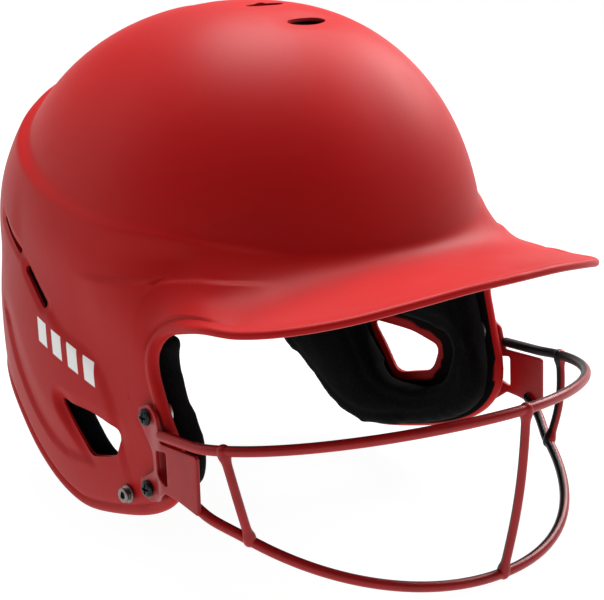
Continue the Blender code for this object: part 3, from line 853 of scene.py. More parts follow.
@dataclass(frozen=True)
class Relief:
    """The moulded relief of the shell: how far its outer surface stands off the plain form.

    Lines on the flank are places (y, z) of the side view in millimetres. A line's own left, going
    along it, is its upper or forward side.
    """

    band_proud: float = 3.8 * MM
    band_from: float = 84.0
    band_span: float = 50.0
    band_edge: float = 5.0 * MM
    band_foot: float = 2.0 * MM
    band_fade: float = 44.0 * MM
    brow_proud: float = 1.3 * MM
    brow_from: float = 32.0
    brow_span: float = 14.0
    brow_foot: float = 8.0 * MM
    brow_fade: float = 22.0 * MM
    edge_lift: float = 1.0 * MM
    flank_from: float = 60.0 * MM
    flank_span: float = 15.0 * MM
    ledge: tuple = ((-8, 15.5), (-25, 16.4), (-45, 18.2), (-72, 21.5))
    ledge_proud: float = 1.1 * MM
    ledge_edge: float = 2.4 * MM
    ledge_foot: float = 16.0 * MM
    ledge_fade: float = 26.0 * MM
    ledge_rear: float = 4.0 * MM
    ledge_rear_fade: float = 22.0 * MM
    ledge_front: float = 108.0 * MM
    valley_depth: float = 0.8 * MM
    valley_rise: float = 9.0 * MM
    valley_half: float = 13.0 * MM
    valley_edge: float = 2.0 * MM
    step_line: tuple = ((47, 19), (36, 10), (19, -3), (5, -13), (-8, -17), (-19, -23), (-27, -35), (-30, -48))
    step_depth: float = 1.2 * MM
    step_edge: float = 6.0 * MM
    step_reach: float = 34.0 * MM
    step_rear: float = 52.0 * MM
    step_rear_fade: float = 14.0 * MM
    ridge: tuple = ((64, -22), (52, -38), (38, -53), (24, -64), (12, -69), (1, -69))
    ridge_depth: float = 1.3 * MM
    ridge_edge: float = 2.2 * MM
    ridge_reach: float = 17.0 * MM
    dish_depth: float = 0.5 * MM
    dish_rear_depth: float = 2.3 * MM
    dish_reach: float = 5.5 * MM
    dish_lean: float = 0.45
    dish_middle: tuple = (-8.0, -54.0)
    dish_turn: float = 16.0 * MM
    slit_depth: float = 0.9 * MM
    slit_reach: float = 3.2 * MM
    scoop_depth: float = 1.7 * MM
    scoop_reach: float = 1.9
    scoop_length: float = 1.5
    crown_from: float = 80.0 * MM
    crown_span: float = 10.0 * MM
    line_steps: int = 6

    def line(self, places: tuple) -> Array:
        """Smooth line through places of the side view."""
        return smooth_line(np.array(places) * MM, self.line_steps)

    def band(self, z: Array, degrees: Array, crease: Array) -> Array:
        """Band round the back and brow below the crease, crisp at the crease and fading down.

        Args:
            z: Heights of the points.
            degrees: Each column's angle from the front.
            crease: Height of the crease at each column.

        Returns:
            Heights of the relief.
        """
        rear = smoothstep((degrees - self.band_from) / self.band_span)
        upper = smoothstep((crease + self.edge_lift - z) / self.band_edge)
        lower = smoothstep((z - self.band_foot) / self.band_fade)
        brow = (self.brow_proud * smoothstep((degrees - self.brow_from) / self.brow_span)
                * smoothstep((z - self.brow_foot) / self.brow_fade))
        return upper * ((self.band_proud - brow) * rear * lower + brow)

    def temple(self, y: Array, z: Array) -> Array:
        """Ledge over the temple, with a soft valley above it.

        Args:
            y: Places fore and aft.
            z: Heights.

        Returns:
            Heights of the relief.
        """
        line = self.line(self.ledge)
        level = np.interp(-y, -line[:, 0], line[:, 1])
        within = (smoothstep((-y - self.ledge_rear) / self.ledge_rear_fade)
                  * smoothstep((y + self.ledge_front) / self.ledge_fade))
        below = (smoothstep((level - z) / self.ledge_edge + 0.5)
                 * smoothstep((z + self.ledge_foot) / self.ledge_fade))
        valley = (bump((z - level - self.valley_rise) / self.valley_half)
                  * smoothstep((z - level) / self.valley_edge + 0.5))
        return within * (self.ledge_proud * below - self.valley_depth * valley)

    def step(self, side: Array) -> Array:
        """Drop below and behind a line from the slits to the ear hole, fading away from the line.

        Args:
            side: Places of the side view.

        Returns:
            Depths of the drop.
        """
        far, sign = line_distance(side, self.line(self.step_line))
        low = smoothstep(-far * sign / self.step_edge + 0.5) * bump(far / self.step_reach)
        return self.step_depth * low * smoothstep((self.step_rear - side[..., 0]) / self.step_rear_fade)

    def rear_ridge(self, side: Array) -> Array:
        """Drop outside a line that runs behind the ear hole, which leaves the line as a ridge."""
        far, sign = line_distance(side, self.line(self.ridge))
        return self.ridge_depth * smoothstep(-far * sign / self.ridge_edge + 0.5) * bump(far / self.ridge_reach)

    def dishes(self, side: Array, hole: Array, slits: tuple) -> Array:
        """Sunk surrounds of the ear hole, deeper behind it, and of the slits.

        Args:
            side: Places of the side view.
            hole: Outline of the ear hole.
            slits: Each slit's start, stop and width, in millimetres.

        Returns:
            Depths of the surrounds.
        """
        y, z = side[..., 0], side[..., 1]
        middle_y, middle_z = np.array(self.dish_middle) * MM
        far, _ = line_distance(side, hole, closed=True)
        rearward = smoothstep((y + self.dish_lean * (middle_z - z) - middle_y) / self.dish_turn)
        depth = (self.dish_rear_depth * rearward + self.dish_depth) * bump(far / self.dish_reach)
        for start, stop, width in slits:
            far, _ = line_distance(side, np.array([start, stop]) * MM)
            depth = depth + self.slit_depth * bump((far - 0.5 * width * MM) / self.slit_reach)
        return depth

    def scoop(self, points: Array, vent: float, half: tuple) -> Array:
        """Dish about a crown vent, longer fore and aft than the vent.

        Args:
            points: Points along the last axis.
            vent: Place of the vent fore and aft, in millimetres.
            half: The vent's half width and half length.

        Returns:
            Depths of the dish.
        """
        away = np.hypot(points[..., 0] / half[0], (points[..., 1] - vent * MM) / half[1] / self.scoop_length)
        crown = smoothstep((points[..., 2] - self.crown_from) / self.crown_span)
        return self.scoop_depth * bump(away / self.scoop_reach) * crown


@dataclass(frozen=True)
class Columns:
    """What the shell's columns are drawn from, with one entry for each column.

    Attributes:
        degrees: Angle from the front.
        turn: The same in radians.
        crease: Height of the crease.
        visor: Share of the visor in the column, from 0 to 1.
        root: Height at which the visor leaves the dome.
        rim: The rim's point.
        out: Direction out of the rim.
        normal: Direction off the outer face at the rim.
        drop: The way out of the rim, on the chart of side_path.
    """

    degrees: Array
    turn: Array
    crease: Array
    visor: Array
    root: Array
    rim: Array
    out: Array
    normal: Array
    drop: Array


@dataclass
class Shell:
    """The one-piece outer shell with its visor, ear flaps, rolled rim, vents and holes.

    The left half is a grid of columns, each at its own angle from the front, and rows from the
    crown to the crease that bounds the dome, on to the rim, round the rim and back up the inside.
    """

    finish: ShellFinish = field(default_factory=ShellFinish)
    moulding: Relief = field(default_factory=Relief)
    columns: int = 210
    crown_rows: int = 40
    side_rows: int = 84
    inner_side_rows: int = 26
    inner_crown_rows: int = 14
    crease: tuple = ((0, 31.0), (15, 31.5), (30, 33.0), (45, 36.0), (62, 40.0), (90, 42.5), (110, 51.0),
                     (130, 64.0), (150, 78.0), (165, 85.5), (180, 88.0))
    visor: tuple = ((0, -166.5, 28.5), (26, -164, 27.5), (51.5, -157, 24), (73.5, -145, 19), (90.5, -128.5, 14.5),
                    (99.5, -111, 11.5), (103, -93, 10.5), (101.5, -76, 5))
    flap: tuple = ((-63.5, -2.5), (-60.3, -9), (-60.5, -16), (-63.0, -24), (-67.3, -36), (-72.3, -48), (-73, -59),
                   (-67.5, -69), (-58, -77), (-44, -83.5), (-25, -89), (-2, -93.6), (12, -93.2), (27, -87.5),
                   (42, -77), (56, -64.5), (72, -54), (92, -48.5))
    nape: tuple = ((150, -47.0), (165, -46.2), (180, -46.0))
    rim_angles: tuple = (0, 20, 40, 57, 61, 67, 71.5, 78, 97, 116, 123, 142, 180)
    rim_places: tuple = (0, 2.3, 4.7, 8.0, 9.3, 11.6, 14, 16, 19, 22, 23.4, 25.4, 28)
    curl: float = 0.38
    chart_radius: float = 0.1
    visor_end: float = 59.0
    visor_blend: float = 13.0
    visor_crown: float = 2.2 * MM
    visor_thickness: float = 4.6 * MM
    crease_smoothing: int = 9
    fillet_rows: float = 9.0
    fillet_rounds: int = 5
    root_front: float = 19.5 * MM
    root_temple: float = 4.0 * MM
    edge_steps: tuple = (7.0, 6.0, 5.0, 4.0, 2.5, 1.2, 0.3, 0.0, 0.3, 1.2, 3.0)
    plain_edge: tuple = (0.0, 0.0, 0.0, 0.0, 0.0, -0.15, -0.8, -1.8, -2.9, -3.5, -3.65)
    bead_edge: tuple = (0.0, 0.1, 0.7, 1.55, 2.0, 1.75, 0.8, -0.7, -2.3, -3.4, -3.65)
    lip_edge: tuple = (0.0, -0.35, -0.45, 0.3, 0.75, 0.6, 0.0, -1.3, -2.6, -3.5, -3.65)
    ear_hole: tuple = ((13, -43), (-14, -43.5), (-33, -47.5), (-30, -60), (-7, -66))
    slits: tuple = (((62, 26.3), (43, 16), 2.6), ((35, 9), (19.5, -3), 3.8))
    vents: tuple = (-41.0, -14.0, 22.0)
    vent_half: tuple = (10.5 * MM, 3.4 * MM)
    screw_hole: float = 2.4 * MM
    stud_hole: float = 2.2 * MM
    ear_corner: float = 5.0 * MM
    bare_margin: float = 1.0 * MM
    bare_blend: float = 5.0 * MM

    def slot_outline(self, start: Array, stop: Array, width: float) -> Array:
        """Round-ended slot: half circles about its two ends, joined by straight sides.

        Args:
            start: First end of the slot's middle line, in millimetres.
            stop: The other end.
            width: Width in millimetres.

        Returns:
            The closed outline in metres.
        """
        a, b = np.array(start) * MM, np.array(stop) * MM
        along = unit(b - a)
        across = np.array([-along[1], along[0]])
        turn = np.linspace(-0.5 * math.pi, 0.5 * math.pi, 9)[:, None]
        cap = 0.5 * width * MM * (along * np.cos(turn) + across * np.sin(turn))
        return np.vstack([b + cap, a - cap])

    def cutouts(self) -> list[Cutout]:
        """Every hole through the shell.

        Returns:
            The holes, those of the flanks once on each side.
        """
        turn = np.arange(40) * (2 * math.pi / 40)
        circle = np.stack([np.cos(turn), np.sin(turn)], -1)
        outlines = [rounded(self.ear_hole, self.ear_corner, 10)]
        outlines += [self.slot_outline(*slit) for slit in self.slits]
        outlines += [circle * self.screw_hole + np.array(place) * MM for place in SCREW_PLACES.values()]
        outlines += [circle * self.stud_hole + np.array(STUD_PLACE) * MM]
        holes = []
        for outline in outlines:
            holes.append(Cutout(outline, "X", 60 * MM, 120 * MM))
            holes.append(Cutout(outline, "X", -120 * MM, -60 * MM))
        for y in self.vents:
            oval = circle * self.vent_half + np.array([0.0, y * MM])
            holes.append(Cutout(oval, "Z", 70 * MM, 140 * MM))
        return holes

    def rim(self, angles: Array) -> Array:
        """Rim points for the columns: the visor's edge, then the flap's edge, then the nape.

        Each column's place along the rim is read from a table of angles and places, smoothed over
        the angle by a bell, and carried on by reflection past the front and the back.

        Args:
            angles: The columns' angles from the front, in degrees.

        Returns:
            One point for each column.
        """
        flap = np.array(self.flap) * MM
        flap = np.column_stack([FORM.side_x(flap[:, 0], flap[:, 1]), flap])
        nape = np.array(self.nape, dtype=float)
        nape = FORM.wall(np.radians(nape[:, 0]), nape[:, 1] * MM)
        per_span = 24
        line = smooth_line(np.vstack([np.array(self.visor) * MM, flap, nape]), per_span)
        lengths = arc_lengths(line)
        marks = np.interp(np.array(self.rim_places) * per_span, np.arange(len(line)), lengths)
        fine = np.linspace(-180.0, 360.0, 2161)
        folded = np.where(fine < 0.0, -fine, np.where(fine > 180.0, 360.0 - fine, fine))
        total = lengths[-1]
        raw = np.interp(folded, self.rim_angles, marks)
        raw = np.where(fine < 0.0, -raw, np.where(fine > 180.0, 2 * total - raw, raw))
        kernel = np.exp(-0.5 * (np.arange(-40, 41) / 11.0) ** 2)
        smooth = np.convolve(raw, kernel / kernel.sum(), "same")
        return read_along(line, np.clip(np.interp(angles, fine, smooth), 0.0, total))

    def edge_heights(self, angles: Array) -> Array:
        """Height of the rim's section at each of its steps, for each column.

        The visor and nape have a plain rounded edge, the front of the flap a full bead, and the
        flap's foot a thin rolled lip; shares that rise and fall with the angle mix the three.

        Args:
            angles: The columns' angles from the front, in degrees.

        Returns:
            Heights off the outer face, a row for each step.
        """
        bead = smoothstep((angles - 52.0) / 7.0) * smoothstep((82.0 - angles) / 8.0)
        lip = smoothstep((angles - 76.0) / 6.0) * (1.0 - 0.4 * smoothstep((angles - 125.0) / 30.0))
        plain = np.clip(1.0 - bead - lip, 0.0, 1.0)
        parts = zip((plain, bead, lip), (self.plain_edge, self.bead_edge, self.lip_edge))
        return sum(share[None, :] * np.array(height)[:, None] for share, height in parts) * MM

    def bezier(self, a: Array, b: Array, c: Array, d: Array, v: Array) -> Array:
        """Cubic curves from a to d that set out towards b and arrive from c, read at v."""
        v = v[:, None, None]
        return (1 - v) ** 3 * a + 3 * v * (1 - v) ** 2 * b + 3 * v ** 2 * (1 - v) * c + v ** 3 * d

    def side_path(self, turn: Array, top: Array, foot: Array, drop: Array, v: Array) -> tuple[Array, Array]:
        """Angles and heights of the columns from the crease to the rim.

        On the chart of (arc round the head, height) each is a cubic that leaves the crease
        straight down and reaches the rim along drop, the way out of the rim.

        Args:
            turn: Each column's angle at the crease, in radians.
            top: Its height there.
            foot: Its angle and height at its foot.
            drop: The way out of the rim on the chart.
            v: Shares of the way down.

        Returns:
            Angles and heights, a row for each share.
        """
        arc = self.chart_radius
        start = np.stack([turn * arc, top], -1)
        stop = np.stack([foot[:, 0] * arc, foot[:, 1]], -1)
        reach = np.linalg.norm(stop - start, axis=1, keepdims=True) * self.curl
        chart = self.bezier(start, start + reach * [0.0, -1.0], stop - reach * drop, stop, v)
        return chart[..., 0] / arc, chart[..., 1]

    def relief(self, points: Array, at: Columns) -> Array:
        """How far the outer surface stands above or below the plain form; see Relief.

        Args:
            points: Points of the outer surface, a column for each of the shell's.
            at: The columns.

        Returns:
            Heights of the relief.
        """
        mould = self.moulding
        side = points[..., 1:]
        flank = smoothstep((points[..., 0] - mould.flank_from) / mould.flank_span)
        height = mould.band(points[..., 2], at.degrees[None, :], at.crease[None, :])
        height = height + flank * mould.temple(side[..., 0], side[..., 1])
        height = height - flank * (mould.step(side) + mould.rear_ridge(side))
        height = height - flank * mould.dishes(side, rounded(self.ear_hole, self.ear_corner, 10), self.slits)
        for vent in self.vents:
            height = height - mould.scoop(points, vent, self.vent_half)
        return height

    def crease_heights(self, degrees: Array) -> Array:
        """Height of the crease at each column, smoothed over its neighbours by a bell.

        Args:
            degrees: The columns' angles from the front.

        Returns:
            Heights.
        """
        crease = np.interp(degrees, *np.array(self.crease).T) * MM
        reach = self.crease_smoothing
        kernel = np.hanning(2 * reach + 1)
        mirrored = np.concatenate([crease[reach:0:-1], crease, crease[-2:-reach - 2:-1]])
        return np.convolve(mirrored, kernel / kernel.sum(), "valid")

    def set_out(self) -> Columns:
        """Set out the columns of the left half.

        The rim's own directions are found from the run of the rim, and from the wall's slope on a
        flap or the brim's slope on the visor.

        Returns:
            The columns.
        """
        degrees = np.linspace(0.0, 180.0, self.columns + 1)
        turn = np.radians(degrees)
        rim = self.rim(degrees)
        visor = smoothstep((self.visor_end - degrees) / self.visor_blend)[:, None]
        fall = np.cos(np.radians(np.clip(degrees * 1.25, 0.0, 90.0))) ** 0.9
        root = self.root_temple + (self.root_front - self.root_temple) * fall
        rim_turn = FORM.azimuth_of(rim)
        along = np.vstack([[1.0, 0.0, 0.0], unit(rim[2:] - rim[:-2]), [-1.0, 0.0, 0.0]])
        step = 1e-4
        plane = unit(np.cross(FORM.wall(rim_turn + step, rim[:, 2]) - FORM.wall(rim_turn - step, rim[:, 2]),
                              FORM.wall(rim_turn, rim[:, 2] + step) - FORM.wall(rim_turn, rim[:, 2] - step)))
        brim = unit(np.cross(rim - FORM.wall(turn, root, 0.0, False), along))
        brim = brim * np.sign(brim[:, 2:])
        normal = unit(plane * (1 - visor) + brim * visor)
        out = unit(np.cross(along, normal))
        normal = unit(np.cross(out, along))
        drop = unit(np.stack([out[:, 0] * np.cos(rim_turn) + out[:, 1] * np.sin(rim_turn), out[:, 2]], -1))
        drop = unit(drop * (1 - visor) + np.array([0.0, -1.0]) * (0.25 + visor))
        return Columns(degrees, turn, self.crease_heights(degrees), visor, root, rim, out, normal, drop)

    def foot(self, points: Array, at: Columns) -> Array:
        """Angle and height at which each column's wall ends: at the point, or under the visor.

        Args:
            points: Where the flap's columns end.
            at: The columns.

        Returns:
            Rows of angle and height.
        """
        share = at.visor[:, 0]
        level = at.rim[:, 2] * (1 - share) + at.root * share
        return np.stack([FORM.azimuth_of(points) * (1 - share) + at.turn * share,
                         points[:, 2] * (1 - share) + level * share], -1)

    def outer_rows(self, at: Columns) -> Array:
        """Rows of the outer surface, from below the crown's pole to the start of the rim's section.

        A flap's column follows the wall; a visor's is a cubic that leaves the dome at its root and
        crowns a little on the way to the edge. The relief is then added along the outward normal.

        Args:
            at: The columns.

        Returns:
            The rows.
        """
        v = np.linspace(0.0, 1.0, self.side_rows + 1)[1:]
        stop = at.rim - at.out * self.edge_steps[0] * MM
        angle, level = self.side_path(at.turn, at.crease, self.foot(stop, at), at.drop, v)
        wall = FORM.wall(angle, level, 0.0, False)
        edge = FORM.wall(at.turn, at.crease, 0.0, False)
        root = FORM.wall(at.turn, at.root, 0.0, False)
        crown = np.array([0.0, 0.0, self.visor_crown])
        brim = self.bezier(edge, root, 0.5 * (root + stop) + crown, stop, v)
        side = wall * (1 - at.visor) + brim * at.visor
        side = side + (stop - side[-1]) * (v ** 3)[:, None, None]
        rise = np.sin(np.linspace(0.5 * math.pi, 0.0, self.crown_rows + 1)[1:]) ** (2.0 / FORM.dome_power)
        top = FORM.centre_z + FORM.height
        dome = FORM.wall(at.turn, at.crease + (top - at.crease) * rise[:, None], 0.0, False)
        rows = self.soften(np.concatenate([dome, side]), len(dome))
        across, down = np.gradient(rows, axis=1), np.gradient(rows, axis=0)
        facing = unit(np.cross(down, across))
        facing *= np.sign((facing * (rows - [0.0, FORM.centre_y, 0.0])).sum(-1, keepdims=True))
        return rows + facing * self.relief(rows, at)[..., None]

    def rim_rows(self, at: Columns) -> Array:
        """Rows round the rim's section: steps back from the rim, each at its height off the face.

        Args:
            at: The columns.

        Returns:
            The rows.
        """
        steps = np.array(self.edge_steps)[1:] * MM
        heights = self.edge_heights(at.degrees)[1:]
        return at.rim - at.out * steps[:, None, None] + at.normal * heights[:, :, None]

    def inner_rows(self, at: Columns, last: Array) -> Array:
        """Rows of the inner surface, from the rim's section up to below the crown's inner pole.

        Args:
            at: The columns.
            last: Last row of the rim's section.

        Returns:
            The rows.
        """
        v = np.linspace(1.0, 0.0, self.inner_side_rows + 1)[1:]
        foot = self.foot(last, at)
        angle, level = self.side_path(at.turn, at.crease, foot, at.drop, v)
        root = FORM.wall(at.turn, at.root - self.visor_thickness, WALL)
        edge = FORM.wall(at.turn, at.crease, WALL)
        crown = np.array([0.0, 0.0, 0.6 * self.visor_crown])
        under = self.bezier(edge, root, 0.5 * (root + last) + crown, last, v)
        side = FORM.wall(angle, level, WALL) * (1 - at.visor) + under * at.visor
        end = FORM.wall(foot[:, 0], foot[:, 1], WALL) * (1 - at.visor) + last * at.visor
        side = side + (last - end) * (v ** 6)[:, None, None]
        rise = np.sin(np.linspace(0.0, 0.5 * math.pi, self.inner_crown_rows + 1)[1:]) ** (2.0 / FORM.dome_power)
        top = FORM.centre_z + FORM.height - WALL - 0.001 * MM
        return np.concatenate([side, FORM.wall(at.turn, at.crease + (top - at.crease) * rise[:, None], WALL)])

    def half(self) -> Array:
        """Grid of the left half, from the outer crown down, round the rim and up to the inner crown.

        Returns:
            Points by row and column.
        """
        at = self.set_out()
        ring = self.rim_rows(at)
        return np.concatenate([self.outer_rows(at), ring, self.inner_rows(at, ring[-1])])

    def soften(self, rows: Array, crease_row: int) -> Array:
        """Round the crease: rows near it move towards the mean of their neighbours, over and over.

        Args:
            rows: Points by row and column.
            crease_row: Row of the crease.

        Returns:
            The softened rows.
        """
        index = np.arange(len(rows))
        share = 0.5 * bump((index - crease_row) / self.fillet_rows)[1:-1, None, None]
        for _ in range(self.fillet_rounds):
            mean = 0.5 * (rows[:-2] + rows[2:])
            rows = np.concatenate([rows[:1], rows[1:-1] * (1 - share) + mean * share, rows[-1:]])
        return rows

    def build(self) -> bpy.types.Object:
        """Make the shell: join the halves, close both crowns, cut the holes and finish it.

        Returns:
            The shell.
        """
        half = self.half()
        rows = np.concatenate([half, mirror_x(half[:, -2:0:-1])], axis=1)
        count, around = rows.shape[:2]
        faces = grid_faces(count, around, wrap_cols=True).tolist()
        apex = [0.0, FORM.centre_y, FORM.centre_z + FORM.height]
        verts = np.vstack([rows.reshape(-1, 3), apex, np.array(apex) - [0.0, 0.0, WALL]])
        ring = np.arange(around)
        top, bottom, last = len(verts) - 2, len(verts) - 1, (count - 1) * around
        faces += [[top, a, (a + 1) % around] for a in ring]
        faces += [[bottom, last + (a + 1) % around, last + a] for a in ring]
        obj = add_piece("outer_shell", verts, faces)
        self.cut(obj)
        self.mark_lining(obj)
        wear(obj, self.finish.build())
        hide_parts("shell")
        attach(obj, BODY)
        return obj

    def mark_lining(self, obj: bpy.types.Object) -> None:
        """Store 1 on the points of the inner face, which is flocked, and 0 on the others.

        The flock stops short of the ear hole, where the plastic is bare.

        Args:
            obj: The shell.
        """
        flat = np.empty(len(obj.data.vertices) * 3, np.float32)
        obj.data.vertices.foreach_get("co", flat)
        points = flat.reshape(-1, 3).astype(float)
        share = (FORM.gauge(points, WALL - 0.4 * MM) < 1.0).astype(float)
        hole = rounded(self.ear_hole, self.ear_corner, 10)
        central = np.abs(points[:, 0]) < self.moulding.flank_from
        far = line_distance(points[:, 1:], hole, closed=True)[0] + central
        share *= smoothstep((far - self.bare_margin) / self.bare_blend)
        obj.data.attributes.new("lining", "FLOAT", "POINT").data.foreach_set("value", share.astype(np.float32))

    def cut(self, obj: bpy.types.Object) -> None:
        """Cut every hole with one Boolean of the joined prisms.

        Args:
            obj: The shell.
        """
        verts, faces, start = [], [], 0
        for hole in self.cutouts():
            points, sides = hole.prism()
            verts.append(points)
            faces += [[start + k for k in face] for face in sides]
            start += len(points)
        cutter = add_piece("hole_cutters", np.vstack(verts), faces, smooth=False)
        modifier = obj.modifiers.new("holes", "BOOLEAN")
        modifier.operation = "DIFFERENCE"
        modifier.solver = "MANIFOLD"
        modifier.object = cutter
        graph = bpy.context.evaluated_depsgraph_get()
        cut_mesh = bpy.data.meshes.new_from_object(obj.evaluated_get(graph))
        obj.modifiers.clear()
        before = len(obj.data.vertices)
        obj.data = cut_mesh
        LOG.info("shell: %d points before its holes, %d after", before, len(cut_mesh.vertices))
        bpy.data.objects.remove(cutter, do_unlink=True)
        cut_mesh.shade_smooth()
        cut_mesh.set_sharp_from_angle(angle=SHARP_EDGE)


# ------------------------------------------------ the liner

class View(Enum):
    """The view in which a pad's outline is drawn."""

    SIDE = "side"
    FRONT = "front"
    REAR = "rear"
    CROWN = "crown"


@dataclass
class Pad:
    """A foam pad under brushed cloth: a crowned, closed form between two insets of the shell."""

    node: str
    outline: Array
    view: View
    side: Side = Side.LEFT
    hole: Array = None
    outer: float = 5.2 * MM
    thickness: float = 9.5 * MM
    fall: float = 0.42
    around: int = 128
    spokes: int = 12
    core: float = 0.06

    def place(self, flat: Array, depth: Array) -> Array:
        """Points at flat places of the pad's view, this deep below the pad's outer face.

        Args:
            flat: Places in the pad's view.
            depth: How deep each lies.

        Returns:
            Points along the last axis.
        """
        a, b = flat[..., 0], flat[..., 1]
        inset = self.outer + depth
        if self.view is View.SIDE:
            return np.stack([self.side.value * FORM.side_x(a, b, inset), a, b], -1)
        if self.view is View.CROWN:
            return np.stack([a, b, FORM.crown_z(a, b, inset)], -1)
        return np.stack([a, FORM.end_y(a, b, inset, self.view is View.FRONT), b], -1)

    def crown(self, share: Array) -> Array:
        """Thickness from the pad's middle or hole, 0, to its edge, 1: it falls as a fourth power."""
        away = np.abs(2.0 * share - 1.0) if self.hole is not None else share
        return self.thickness * (1.0 - self.fall * away ** 4)

    def build(self) -> bpy.types.Object:
        """Make the pad: rings of its outline shrinking to its middle or its hole, out and back.

        Returns:
            The pad.
        """
        edge = even(self.outline, self.around, closed=True)
        if self.hole is None:
            heart = np.repeat(edge.mean(0)[None], self.around, 0)
        else:
            heart = even(self.hole, self.around, closed=True)
            start = np.linalg.norm(heart - edge[0], axis=1).argmin()
            heart = np.roll(heart, -start, 0)
        first = 0.0 if self.hole is not None else self.core
        share = np.linspace(first, 1.0, self.spokes)
        flat = heart[None] + (edge - heart)[None] * share[:, None, None]
        outer = self.place(flat, np.zeros(flat.shape[:2]))
        inner = self.place(flat, np.repeat(self.crown(share)[:, None], self.around, 1))[::-1]
        verts = np.concatenate([outer, inner]).reshape(-1, 3)
        rows = 2 * self.spokes
        faces = grid_faces(rows, self.around, self.hole is not None, True).tolist()
        if self.hole is None:
            ring = list(range(self.around))
            faces += [ring, [(rows - 1) * self.around + k for k in ring[::-1]]]
        return add_piece(self.node.replace("_pad", "_cushion"), verts, faces)


@dataclass
class Liner:
    """Seven black pads inside the shell: front, rear, crown, and a side and an ear pad each side."""

    finish: ClothFinish = field(default_factory=ClothFinish)
    voxel: float = 4.0 * MM
    pressure: float = 4.0
    cap: float = 5.0 * MM
    frames: int = 20
    seam_inset: float = 7.0 * MM
    seam_depth: float = 0.9 * MM
    clear: float = 4.2 * MM
    corner: float = 8.0 * MM
    shrink: float = 1.6 * MM
    ear: tuple = ((-58.5, -1), (-58.8, -14), (-62, -24), (-66.3, -36), (-71, -48.5), (-71.3, -58.5), (-65.7, -67.8),
                  (-56.8, -75.4), (-43, -81.8), (-24, -87.2), (-2, -91.8), (12, -91.2), (26, -85.5), (41, -75),
                  (55, -62.5), (62, -54), (60, -16), (20, -10), (-20, -6))
    ear_hole: tuple = ((17, -36), (-16, -35), (-52, -38), (-50, -58), (-30, -65.5), (-6, -66))
    side: tuple = ((-56, 5), (-50, 32), (-10, 42), (40, 44), (62, 30), (60, -9), (20, -4), (-20, 1))
    front: tuple = ((-58, 8), (-50, 56), (50, 56), (58, 8))
    rear: tuple = ((-48, -42), (-52, 52), (52, 52), (48, -42))
    crown_radii: tuple = (58.0 * MM, 66.0 * MM)
    crown_y: float = 2.0 * MM
    ear_hole_corner: float = 7.0 * MM
    ear_hole_growth: float = 0.8 * MM
    ear_inset: float = 4.6 * MM
    ear_thickness: float = 13.0 * MM
    ear_fall: float = 0.16
    seam_width: float = 2.6 * MM
    stiffness: float = 18.0

    def inward(self, outline: Array, by: float) -> Array:
        """The outline moved square to itself, towards its middle.

        Args:
            outline: A closed outline.
            by: How far.

        Returns:
            The moved outline.
        """
        run = unit(np.roll(outline, -1, 0) - np.roll(outline, 1, 0))
        out = np.stack([run[:, 1], -run[:, 0]], -1)
        middle = outline.mean(0)
        out = out * np.sign(((outline - middle) * out).sum(1, keepdims=True))
        return outline - out * by

    def pads(self) -> list[Pad]:
        """The seven pads, each from its outline set in a little so that it can swell.

        Returns:
            The pads.
        """
        turn = np.arange(96) * (2 * math.pi / 96)
        radii = np.array(self.crown_radii) - self.shrink
        oval = np.stack([np.cos(turn), np.sin(turn)], -1) * radii + [0.0, self.crown_y]
        front, rear, side = (self.inward(even(rounded(outline, self.corner), 128, True), self.shrink)
                             for outline in (self.front, self.rear, self.side))
        ear = even(smooth_line(np.array(self.ear) * MM, 8, closed=True), 160, True)
        hole = self.inward(even(rounded(self.ear_hole, self.ear_hole_corner), 128, True), -self.ear_hole_growth)
        made = [Pad("front_pad", front, View.FRONT), Pad("rear_pad", rear, View.REAR),
                Pad("crown_pad", oval, View.CROWN)]
        for each in Side:
            made.append(Pad(f"{each.label}_side_pad", side, View.SIDE, each))
            made.append(Pad(f"{each.label}_ear_pad", ear, View.SIDE, each, hole, self.ear_inset,
                            self.ear_thickness, self.ear_fall))
        return made

    def remesh(self, obj: bpy.types.Object) -> None:
        """Rebuild a pad's surface in even cells, and apply it.

        Args:
            obj: The pad.
        """
        modifier = obj.modifiers.new("cells", "REMESH")
        modifier.mode = "VOXEL"
        modifier.voxel_size = self.voxel
        modifier.use_smooth_shade = True
        graph = bpy.context.evaluated_depsgraph_get()
        made = bpy.data.meshes.new_from_object(obj.evaluated_get(graph))
        obj.modifiers.clear()
        obj.data = made

    def swell(self, pads: list[bpy.types.Object]) -> None:
        """Blow the pads up as cloth under a light pressure, and cap how far each point moves.

        Args:
            pads: The pads, which swell side by side.
        """
        for obj in pads:
            settings = obj.modifiers.new("cloth", "CLOTH").settings
            settings.quality = 6
            settings.mass = 0.3
            settings.tension_stiffness = self.stiffness
            settings.compression_stiffness = self.stiffness
            settings.bending_stiffness = 0.6
            settings.use_pressure = True
            settings.uniform_pressure_force = self.pressure
            settings.effector_weights.gravity = 0.0
        scene = bpy.context.scene
        for number in range(1, self.frames + 1):
            scene.frame_set(number)
        graph = bpy.context.evaluated_depsgraph_get()
        for obj in pads:
            rest, blown = self.points(obj.data), self.points(obj.evaluated_get(graph).data)
            obj.modifiers.clear()
            move = blown - rest
            far = np.maximum(np.linalg.norm(move, axis=1, keepdims=True), 1e-9)
            self.put(obj, rest + move * np.minimum(1.0, self.cap / far))
        scene.frame_set(1)

    def points(self, mesh: bpy.types.Mesh) -> Array:
        """A mesh's points as rows.

        Args:
            mesh: The mesh.

        Returns:
            The points.
        """
        flat = np.empty(len(mesh.vertices) * 3, np.float32)
        mesh.vertices.foreach_get("co", flat)
        return flat.reshape(-1, 3).astype(float)

    def put(self, obj: bpy.types.Object, points: Array) -> None:
        """Move an object's points."""
        obj.data.vertices.foreach_set("co", points.astype(np.float32).ravel())
        obj.data.update()

